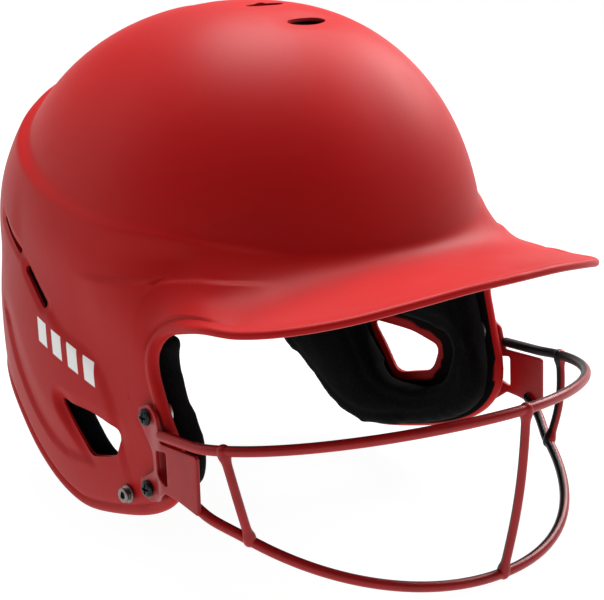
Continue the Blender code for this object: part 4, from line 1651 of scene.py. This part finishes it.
    def relax(self, obj: bpy.types.Object, rounds: int) -> None:
        """Even out a mesh: each point moves half way to the mean of its neighbours, over and over.

        Args:
            obj: The object.
            rounds: How many times.
        """
        mesh = obj.data
        edges = np.empty(len(mesh.edges) * 2, np.int32)
        mesh.edges.foreach_get("vertices", edges)
        a, b = edges.reshape(-1, 2).T
        points = self.points(mesh)
        count = np.bincount(np.concatenate([a, b]), minlength=len(points))[:, None]
        for _ in range(rounds):
            total = np.zeros_like(points)
            np.add.at(total, a, points[b])
            np.add.at(total, b, points[a])
            points = 0.5 * points + 0.5 * total / np.maximum(count, 1)
        self.put(obj, points)

    def seat(self, obj: bpy.types.Object, pad: Pad) -> None:
        """Press the pad's outer face flat against the shell and sink a welded seam near its edge.

        Args:
            obj: The pad.
            pad: What it was made from.
        """
        points = self.points(obj.data)
        centre = np.array([0.0, FORM.centre_y, FORM.centre_z])
        low = np.minimum(points[:, 2], FORM.centre_z)
        heart = np.column_stack([0.0 * low, 0.0 * low + centre[1], low])
        gauge = FORM.gauge(points, self.clear)[:, None]
        points = heart + (points - heart) / np.maximum(gauge, 1.0)
        flat = {View.SIDE: points[:, 1:], View.CROWN: points[:, :2]}.get(pad.view, points[:, ::2])
        edge, _ = line_distance(flat, even(pad.outline, 96, True), closed=True)
        if pad.hole is not None:
            edge = np.minimum(edge, line_distance(flat, even(pad.hole, 64, True), closed=True)[0])
        within = FORM.gauge(points, pad.outer + 0.45 * pad.thickness) < 1.0
        sink = self.seam_depth * bump((edge - self.seam_inset) / self.seam_width) * within
        out = unit(points - heart)
        self.put(obj, points + out * sink[:, None])

    def build(self) -> list[bpy.types.Object]:
        """Make every pad, swell them together, seat them and finish them.

        Returns:
            The pads.
        """
        cloth = self.finish.build()
        plans = self.pads()
        made = [pad.build() for pad in plans]
        for obj in made:
            self.remesh(obj)
            self.relax(obj, 2)
        self.swell(made)
        for pad, obj in zip(plans, made):
            self.relax(obj, 1)
            division = obj.modifiers.new("fine", "SUBSURF")
            division.levels = 1
            division.render_levels = 1
            graph = bpy.context.evaluated_depsgraph_get()
            obj.data = bpy.data.meshes.new_from_object(obj.evaluated_get(graph))
            obj.modifiers.clear()
            self.seat(obj, pad)
            obj.data.shade_smooth()
            wear(obj, cloth)
            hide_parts(pad.node)
            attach(obj, BODY)
            LOG.info("%s: %d points", obj.name, len(obj.data.vertices))
        return made


# ------------------------------------------------ the face guard

@dataclass(frozen=True)
class Wire:
    """A guard wire: a superellipse in plan, from the right round the front to the left."""

    half_width: float
    start_y: float
    reach: float
    power: float
    lift: tuple[float, float, float, float]
    radius: float = 2.2

    def at(self, angle: Array) -> Array:
        """Points at angles from the right end.

        X runs as the cosine and the reach forwards as the sine, each to the power 2 over the
        wire's own, and the height is a cubic in the share of the reach.

        Args:
            angle: Angles in radians.

        Returns:
            Points along the last axis.
        """
        cos, sin = np.cos(angle), np.sin(angle)
        power = 2.0 / self.power
        x = -self.half_width * np.sign(cos) * np.abs(cos) ** power
        u = np.abs(sin) ** power
        z = self.lift[0] + self.lift[1] * u + self.lift[2] * u ** 2 + self.lift[3] * u ** 3
        return np.stack([x, self.start_y - self.reach * u, z], -1) * MM


UPPER_WIRE = Wire(102.3, -90.2, 80.2, 1.74, (-39.3, 8.9, 4.4, 0.0))
LOWER_WIRE = Wire(101.1, -58.1, 102.6, 2.06, (-53.6, -47.0, -2.8, 5.0))


@dataclass
class FaceGuard:
    """Two bent wires, three uprights and two sheet side plates, welded together and coated."""

    finish: CoatFinish = field(default_factory=CoatFinish)
    tail: tuple = (-102.7 * MM, -68.0 * MM, -39.6 * MM)
    lower_start: float = math.radians(26.0)
    lower_lead: tuple = ((-101.0, -84.0, -62.8), (-100.2, -88.6, -65.8), (-97.6, -94.6, -69.6))
    upright_radius: float = 1.9 * MM
    upright_upper: float = math.radians(12.0)
    upright_lower: float = math.radians(27.9)
    sides: int = 28
    wire_steps: int = 220
    weld_swell: float = 0.9 * MM
    weld_reach: float = 2.4 * MM
    weld_depth: float = 1.6 * MM
    plate: tuple = ((-52, -31.5), (-59.5, -28.5), (-65, -32.5), (-68, -43), (-91, -42.9), (-92, -67.5),
                    (-78, -64.2), (-70, -63.4), (-60.5, -71), (-53, -73.2), (-47.5, -69.5), (-48, -64),
                    (-53.5, -61), (-58.5, -57.7), (-58.7, -49.5), (-52.5, -38.5))
    window: tuple = ((-62.8, -47.3), (-71.5, -45.8), (-72.3, -60.6), (-63, -57))
    plate_thickness: float = 1.8 * MM
    plate_x: float = 103.4 * MM
    tab_x: float = 99.9 * MM
    tab_slope: float = 0.105
    bevel: float = 0.45 * MM
    plate_corner: float = 1.6 * MM
    window_corner: float = 1.2 * MM
    screw_hole: float = 2.4 * MM
    bend_from: float = 57.0 * MM
    bend_span: float = 12.0 * MM
    grid_step: float = 1.7
    grid_clear: float = 0.8 * MM

    def bar(self, name: str, path: Array, radii: Array, node: str) -> None:
        """Round bar along a path, marked with how much each point faces the wearer.

        Args:
            name: The piece's name.
            path: Centreline.
            radii: Radius at each point of it.
            node: The frame's node that it stands for.
        """
        verts, faces, out = swept_tube(path, radii, self.sides)
        head = np.array([0.0, -20.0 * MM, 0.0])
        inward = unit(unit((head - verts) * [1.0, 1.0, 0.0]) + [0.0, 0.0, 0.3])
        share = 0.4 + 0.5 * (inward * out).sum(1)
        obj = add_piece(name, verts, faces, inner=share)
        wear(obj, self.coat)
        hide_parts(node)
        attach(obj, BODY)

    def weld(self, path: Array) -> Array:
        """Radius along an upright: it swells towards both ends, where it is welded to the wires.

        Args:
            path: Its centreline.

        Returns:
            A radius for each point.
        """
        along = arc_lengths(path)
        near = np.minimum(along, along[-1] - along) - self.weld_depth
        return self.upright_radius + self.weld_swell * np.exp(-(np.maximum(near, 0.0) / self.weld_reach) ** 2)

    def upright(self, name: str, top: Array, bottom: Array, bow: Array, node: str) -> None:
        """Rod from one wire to the other, bowed as half a sine wave.

        Args:
            name: The piece's name.
            top: Its end on the upper wire.
            bottom: Its end on the lower wire.
            bow: How far its middle stands off the straight line, in millimetres.
            node: The frame's node that it stands for.
        """
        t = np.linspace(0.0, 1.0, 60)[:, None]
        path = top * (1 - t) + bottom * t + np.array(bow) * MM * np.sin(math.pi * t)
        self.bar(name, path, self.weld(path), node)

    def sheet_x(self, y: Array, z: Array) -> Array:
        """Distance of a plate's inner face from the middle plane: its tabs lean in to the flap."""
        tab = self.tab_x - self.tab_slope * (SCREW_PLACES["upper"][1] * MM - z)
        return tab + (self.plate_x - self.plate_thickness - tab) * smoothstep((-y - self.bend_from) / self.bend_span)

    def flat_face(self, loops: list) -> tuple[Array, Array]:
        """Triangulate the sheet's flat face over its outlines and a grid of inner points.

        Args:
            loops: The outlines, the outer one first and then its holes.

        Returns:
            Points, with those of the outlines first, and triangles.
        """
        low, high = np.array(self.plate).min(0), np.array(self.plate).max(0) + 1.0
        columns, rows = (np.arange(a, b, self.grid_step) for a, b in zip(np.floor(low), high))
        grid = np.stack(np.meshgrid(columns, rows), -1).reshape(-1, 2) * MM
        keep = inside(grid, loops[0])
        for k, loop in enumerate(loops):
            keep &= line_distance(grid, loop, closed=True)[0] > self.grid_clear
            keep &= ~inside(grid, loop) if k else keep
        edges, start = [], 0
        for loop in loops:
            ring = np.arange(len(loop))
            edges += (start + np.stack([ring, np.roll(ring, -1)], -1)).tolist()
            start += len(loop)
        flat = [Vector(place) for place in np.vstack(loops + [grid[keep]])]
        points, _, tris, *_ = delaunay_2d_cdt(flat, edges, [], 0, 1e-9)
        points, tris = np.array([p[:] for p in points]), np.array(tris)
        middle = points[tris].mean(1)
        keep = inside(middle, loops[0])
        for loop in loops[1:]:
            keep &= ~inside(middle, loop)
        return points, tris[keep]

    def side_plate(self, side: Side) -> bpy.types.Object:
        """Sheet plate with a window and two screw holes, bevelled, and bent in to the flap.

        Two flat faces are joined, at each outline, by rings that go round the edge of the sheet as
        a quarter circle, a wall and another quarter circle; last the whole sheet is bent.

        Args:
            side: Which side.

        Returns:
            The plate.
        """
        turn = np.arange(32) * (2 * math.pi / 32)
        circle = np.stack([np.cos(turn), np.sin(turn)], -1) * self.screw_hole
        holes = [circle + np.array(place) * MM for place in SCREW_PLACES.values()]
        holes.append(rounded(self.window, self.window_corner, 6))
        loops = [even(rounded(self.plate, self.plate_corner, 6), 260, True)]
        loops += [even(hole, max(32, len(hole)), True) for hole in holes]
        inset = [self.offset(loop, self.bevel if k else -self.bevel) for k, loop in enumerate(loops)]
        points, tris = self.flat_face(inset)
        count, depth = len(points), self.plate_thickness
        verts = [np.column_stack([np.full(count, depth), points]), np.column_stack([np.zeros(count), points])]
        faces = tris.tolist() + (tris[:, ::-1] + count).tolist()
        start = 2 * count
        quarter = np.linspace(0.0, 0.5 * math.pi, 5)
        out = np.concatenate([np.sin(quarter), np.sin(quarter)[::-1]]) * self.bevel
        down = self.bevel * (1 - np.cos(quarter))
        level = np.concatenate([depth - down, down[::-1]])
        for k, loop in enumerate(inset):
            rings = [np.column_stack([np.full(len(loop), h), self.offset(loop, -o if k else o)])
                     for o, h in zip(out, level)]
            verts += rings
            faces += (grid_faces(len(rings), len(loop), wrap_cols=True) + start).tolist()
            start += len(rings) * len(loop)
        verts = np.vstack(verts)
        verts[:, 0] = side.value * (verts[:, 0] + self.sheet_x(verts[:, 1], verts[:, 2]))
        obj = add_piece(f"{side.label}_guard_plate", verts, faces)
        wear(obj, self.plain)
        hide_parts(f"{side.label}_side_plate")
        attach(obj, BODY)
        return obj

    def offset(self, loop: Array, by: float) -> Array:
        """A closed outline moved outwards square to itself, whichever way round it runs.

        Args:
            loop: The outline.
            by: How far; inwards when below zero.

        Returns:
            The moved outline.
        """
        run = unit(np.roll(loop, -1, 0) - np.roll(loop, 1, 0))
        area = (loop[:, 0] * np.roll(loop[:, 1], -1) - loop[:, 1] * np.roll(loop[:, 0], -1)).sum()
        return loop + np.stack([run[:, 1], -run[:, 0]], -1) * by * np.sign(area)

    def build(self) -> None:
        """Make the guard's wires, uprights and plates."""
        self.coat = self.finish.build("guard_coat", two_tone=True)
        self.plain = self.finish.build("plate_coat", two_tone=False)
        angles = np.linspace(0.0, math.pi, self.wire_steps)
        tail = np.array(self.tail)
        path = np.vstack([tail, UPPER_WIRE.at(angles), mirror_x(tail)])
        path = even(smooth_line(even(path, 80), 4), self.wire_steps)
        self.bar("upper_guard_wire", path, np.full(len(path), UPPER_WIRE.radius * MM), "upper_wire")
        lead = np.array(self.lower_lead) * MM
        path = LOWER_WIRE.at(np.linspace(self.lower_start, math.pi - self.lower_start, 40))
        path = even(smooth_line(np.vstack([lead, path, mirror_x(lead[::-1])]), 8), self.wire_steps)
        self.bar("lower_guard_wire", path, np.full(len(path), LOWER_WIRE.radius * MM), "lower_wire")
        middle = 0.5 * math.pi
        self.upright("middle_guard_upright", UPPER_WIRE.at(middle), LOWER_WIRE.at(middle), (0, -2.5, 0),
                     "centre_upright")
        for side in Side:
            turn = [-side.value, 1, 1]
            top = UPPER_WIRE.at(self.upright_upper) * turn
            bottom = LOWER_WIRE.at(self.upright_lower) * turn
            self.upright(f"{side.label}_guard_upright", top, bottom, (1.5 * side.value, -2.0, 0),
                         f"{side.label}_upright")
            self.side_plate(side)
        LOG.info("face guard: two wires, three uprights, two plates")


# ------------------------------------------------ the fasteners

@dataclass
class Fasteners:
    """Four cross-recess screws with flanged hex nuts, and two snap studs with washers."""

    black: MetalFinish = MetalFinish("black_oxide", (0.010, 0.012, 0.013), (0.05, 0.055, 0.055), 0.26, 0.7)
    zinc: MetalFinish = MetalFinish("zinc_plate", (0.52, 0.53, 0.52), (0.36, 0.36, 0.35), 0.28)
    nickel: MetalFinish = MetalFinish("nickel_plate", (0.24, 0.21, 0.20), (0.10, 0.09, 0.085), 0.30)
    guard: FaceGuard = field(default_factory=FaceGuard)
    sides: int = 96
    head: tuple = ((1.80, 0.0), (1.80, 1.2), (1.62, 2.5), (1.0, 3.45), (0.30, 3.6), (0.0, 3.6), (0.0, 1.9),
                   (-10.4, 1.9), (-11.0, 1.5), (-11.0, 0.0))
    cross_half: float = 0.42 * MM
    cross_arm: float = 1.95 * MM
    cross_depth: float = 1.35 * MM
    thread_pitch: float = 0.8 * MM
    thread_depth: float = 0.16 * MM
    cross_soft: float = 0.16 * MM
    cross_rise: float = 0.45
    head_radius: float = 3.6 * MM
    head_flat: float = 1.2 * MM
    head_gap: float = 0.3 * MM
    shank_radius: float = 1.9 * MM
    flange_top: float = 1.25 * MM
    flange_edge: float = 0.1 * MM
    nut_bore: float = 2.8 * MM
    nut_edge: float = 0.5 * MM
    stud_proud: float = 3.4 * MM
    stud_well: float = 1.5 * MM
    hair: float = 0.004 * MM
    stud: tuple = ((2.6, 0.0), (2.6, 1.3), (3.4, 1.7), (3.4, 2.9), (3.0, 3.3), (2.3, 3.1), (1.6, 2.6), (1.2, 2.6),
                   (1.0, 3.9), (0.0, 3.9), (0.0, 1.8), (-7.0, 1.8), (-7.0, 0.0))
    washer: tuple = ((0, 2.2), (0, 4.4), (-0.2, 4.6), (-0.8, 4.6), (-1, 4.4), (-1, 2.2), (0, 2.2))
    nut: tuple = ((0.0, 2.1), (0.0, 6.0), (-0.9, 6.0), (-1.3, 3.7), (-4.0, 3.7), (-4.0, 2.1))

    def poled(self, profile: Array) -> Array:
        """Profile whose ends on the axis stop a hair short of it, so that its faces stay four-sided.

        Args:
            profile: Rows of place along the axis and radius.

        Returns:
            The profile.
        """
        profile = profile.copy()
        profile[:, 1] = np.maximum(profile[:, 1], self.hair)
        return profile

    def finer(self, profile: Array, step: float) -> Array:
        """The profile with points at most a step apart."""
        total = arc_lengths(profile)[-1]
        return read_along(profile, np.linspace(0.0, total, int(total / step) + 1))

    def close(self, count: int) -> list:
        """Faces that close a turned piece's two ends."""
        last = count - self.sides
        return [list(range(self.sides)), [last + k for k in range(self.sides)][::-1]]

    def screw(self, side: Side, place: str) -> bpy.types.Object:
        """Pan-head screw: a turned form with a cross sunk in its head and a thread round its shank.

        The cross is where either arm's width and length both hold, with soft edges, and it sinks
        the head along the axis; the thread is a triangle wave of the distance along the shank
        plus the turn about it.

        Args:
            side: Which side.
            place: The upper or the lower screw.

        Returns:
            The screw.
        """
        y, z = np.array(SCREW_PLACES[place]) * MM
        seat = self.guard.sheet_x(y, z) + self.guard.plate_thickness + self.guard.tab_slope * self.head_radius
        profile = self.finer(arc_profile(self.head, 0.5 * MM), 0.14 * MM)
        verts, faces = turned(self.poled(profile), np.zeros(3), side, self.sides)
        along = side.value * verts[:, 0]
        a, b = np.abs(verts[:, 1]), np.abs(verts[:, 2])
        soft = self.cross_soft
        arm = smoothstep((self.cross_half - a) / soft + 0.5) * smoothstep((self.cross_arm - b) / soft + 0.5)
        other = smoothstep((self.cross_half - b) / soft + 0.5) * smoothstep((self.cross_arm - a) / soft + 0.5)
        top = along > self.head_flat
        depth = self.cross_depth * (1.0 - self.cross_rise * np.hypot(a, b) / self.cross_arm)
        verts[:, 0] -= side.value * np.maximum(arm, other) * depth * top
        turn = np.arctan2(verts[:, 2], verts[:, 1]) / (2 * math.pi)
        wave = np.abs((along / self.thread_pitch + turn) % 1.0 - 0.5) * 2.0
        shank = smoothstep((-along - 0.5 * MM) / (0.8 * MM)) * smoothstep((along + 10.6 * MM) / (0.5 * MM))
        cut = 1.0 - self.thread_depth * wave * shank / self.shank_radius
        verts[:, 1:] *= cut[:, None]
        verts += [side.value * (seat + self.head_gap), y, z]
        name = f"{side.label}_{place}"
        # The cross recess, which the metal finish paints near black as painted shade.
        sunk = np.maximum(arm, other) * top
        obj = add_piece(f"{name}_cross_screw", verts, faces.tolist() + self.close(len(verts)), inner=sunk)
        wear(obj, self.paint[0])
        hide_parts(f"{name}_screw")
        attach(obj, f"{name}_screw")
        return obj

    def flanged_nut(self, side: Side, place: str) -> bpy.types.Object:
        """Flanged nut: a ring whose wall above the flange is drawn in to six flats.

        Args:
            side: Which side.
            place: The upper or the lower nut.

        Returns:
            The nut.
        """
        low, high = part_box(f"{side.label}_{place}_nut")
        y, z = np.array(SCREW_PLACES[place]) * MM
        outer = max(abs(low.x), abs(high.x))
        profile = self.finer(np.array(self.nut + self.nut[:1]) * MM, 0.25 * MM)[:-1]
        verts, faces = turned(profile, np.zeros(3), side, self.sides, closed=True)
        turn = np.arctan2(verts[:, 2], verts[:, 1])
        reach = np.hypot(verts[:, 1], verts[:, 2])
        flat = np.cos(math.pi / 6) / np.cos(turn % (math.pi / 3) - math.pi / 6)
        wall = (smoothstep((-side.value * verts[:, 0] - self.flange_top) / self.flange_edge)
                * smoothstep((reach - self.nut_bore) / self.nut_edge))
        verts[:, 1:] *= (1.0 - wall * (1.0 - flat))[:, None]
        verts += [side.value * outer, y, z]
        obj = add_piece(f"{side.label}_{place}_hex_nut", verts, faces.tolist())
        wear(obj, self.paint[1])
        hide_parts(f"{side.label}_{place}_nut")
        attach(obj, BODY)
        return obj

    def snap_stud(self, side: Side) -> None:
        """Chin-strap stud, turned with soft edges, and the washer behind it.

        Args:
            side: Which side.
        """
        low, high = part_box(f"{side.label}_snap_stud")
        y, z = np.array(STUD_PLACE) * MM
        outer = max(abs(low.x), abs(high.x)) - self.stud_proud
        profile = self.poled(self.finer(arc_profile(self.stud, 0.35 * MM), 0.2 * MM))
        verts, faces = turned(profile, np.array([side.value * outer, y, z]), side, self.sides)
        reach = np.hypot(verts[:, 1] - y, verts[:, 2] - z)
        # The stud's well, which the metal finish paints near black as painted shade.
        sunk = ((reach < self.stud_well) & (side.value * verts[:, 0] > outer)).astype(float)
        obj = add_piece(f"{side.label}_strap_stud", verts, faces.tolist() + self.close(len(verts)), inner=sunk)
        wear(obj, self.paint[2])
        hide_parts(f"{side.label}_snap_stud")
        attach(obj, BODY)
        low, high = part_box(f"{side.label}_stud_washer")
        back = max(abs(low.x), abs(high.x))
        profile = self.finer(np.array(self.washer) * MM, 0.3 * MM)[:-1]
        verts, faces = turned(profile, np.array([side.value * back, y, z]), side, self.sides, closed=True)
        obj = add_piece(f"{side.label}_flat_washer", verts, faces.tolist())
        wear(obj, self.paint[1])
        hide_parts(f"{side.label}_stud_washer")
        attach(obj, BODY)

    def build(self) -> None:
        """Make the fasteners on both sides."""
        self.paint = [finish.build() for finish in (self.black, self.zinc, self.nickel)]
        for side in Side:
            for place in SCREW_PLACES:
                self.screw(side, place)
                self.flanged_nut(side, place)
            self.snap_stud(side)
        LOG.info("fasteners: four screws and nuts, two studs and washers")


# ------------------------------------------------ the studio

@dataclass(frozen=True)
class SoftBox:
    """A square lamp that faces a point of the object."""

    name: str
    place: tuple[float, float, float]
    size: float
    watts: float
    colour: Colour = (1.0, 1.0, 1.0)
    aim: tuple[float, float, float] = (0.0, 0.0, 0.03)

    def build(self) -> None:
        """Hang the lamp."""
        lamp = bpy.data.lights.new(self.name, "AREA")
        lamp.energy = self.watts
        lamp.size = self.size
        lamp.color = self.colour
        obj = bpy.data.objects.new(self.name, lamp)
        obj.location = self.place
        obj.rotation_euler = (Vector(self.aim) - Vector(self.place)).to_track_quat("-Z", "Y").to_euler()
        bpy.context.scene.collection.objects.link(obj)


@dataclass
class Studio:
    """A pale floor, soft lamps above and behind, and the camera at the front right."""

    camera_place: tuple = (-0.529, -0.6257, 0.1974)
    camera_turn: float = math.radians(42.0)
    camera_tilt: float = math.radians(14.5)
    lens: float = 109.8
    floor_half: float = 14.0
    world: float = 0.06
    lamps: tuple = (
        SoftBox("top_box", (0.30, 0.30, 1.25), 0.8, 32.0),
        SoftBox("rear_right_box", (-0.75, 0.95, 0.70), 0.9, 3.0),
        SoftBox("left_box", (1.15, 0.00, 0.80), 0.7, 18.0),
    )

    def camera(self) -> None:
        """Set up the camera from its turn to the wearer's right and its tilt down."""
        turn, tilt = self.camera_turn, self.camera_tilt
        right = Vector((math.cos(turn), -math.sin(turn), 0.0))
        ahead = Vector((math.sin(turn) * math.cos(tilt), math.cos(turn) * math.cos(tilt), -math.sin(tilt)))
        data = bpy.data.cameras.new("camera")
        data.sensor_width = 36.0
        data.lens = self.lens
        obj = bpy.data.objects.new("camera", data)
        axes = Matrix((right, right.cross(ahead), -ahead)).transposed().to_4x4()
        axes.translation = Vector(self.camera_place)
        obj.matrix_world = axes
        bpy.context.scene.collection.objects.link(obj)
        bpy.context.scene.camera = obj

    def floor(self) -> None:
        """Lay the floor at the guard's lowest point."""
        low = CAD_BOX[0][2] - 0.5 * MM
        half = self.floor_half
        mesh = bpy.data.meshes.new("floor")
        mesh.from_pydata([(-half, -half, low), (half, -half, low), (half, half, low), (-half, half, low)], [],
                         [(0, 1, 2, 3)])
        paint = Paint("floor_paper", roughness=0.9, emission_strength=0.97)
        paint.shader.inputs["Base Color"].default_value = (0.10, 0.10, 0.10, 1.0)
        paint.shader.inputs["Emission Color"].default_value = (1.0, 1.0, 1.0, 1.0)
        mesh.materials.append(paint.material)
        obj = bpy.data.objects.new("floor", mesh)
        bpy.context.scene.collection.objects.link(obj)

    def air(self) -> None:
        """Colour the air: white at the floor's horizon, so that it joins the floor, and dim above it."""
        world = bpy.data.worlds.new("air")
        world.use_nodes = True
        nodes, links = world.node_tree.nodes, world.node_tree.links
        split = nodes.new("ShaderNodeSeparateXYZ")
        links.new(nodes.new("ShaderNodeTexCoord").outputs["Generated"], split.inputs[0])
        level = nodes.new("ShaderNodeMapRange")
        level.interpolation_type = "SMOOTHSTEP"
        for name, value in (("From Min", 0.05), ("From Max", 0.24), ("To Min", 1.0), ("To Max", self.world)):
            level.inputs[name].default_value = value
        links.new(split.outputs["Z"], level.inputs["Value"])
        links.new(level.outputs[0], nodes["Background"].inputs["Color"])
        bpy.context.scene.world = world

    def build(self) -> None:
        """Set the whole studio."""
        bpy.context.scene.view_settings.view_transform = "Standard"
        self.camera()
        self.floor()
        self.air()
        for lamp in self.lamps:
            lamp.build()


def main() -> None:
    """Build the studio and the helmet's pieces in order."""
    logging.basicConfig(level=logging.INFO, format="%(message)s")
    Studio().build()
    shell = Shell().build()
    LOG.info("%s: %d points", shell.name, len(shell.data.vertices))
    Liner().build()
    FaceGuard().build()
    Fasteners().build()


if __name__ == "__main__":
    main()
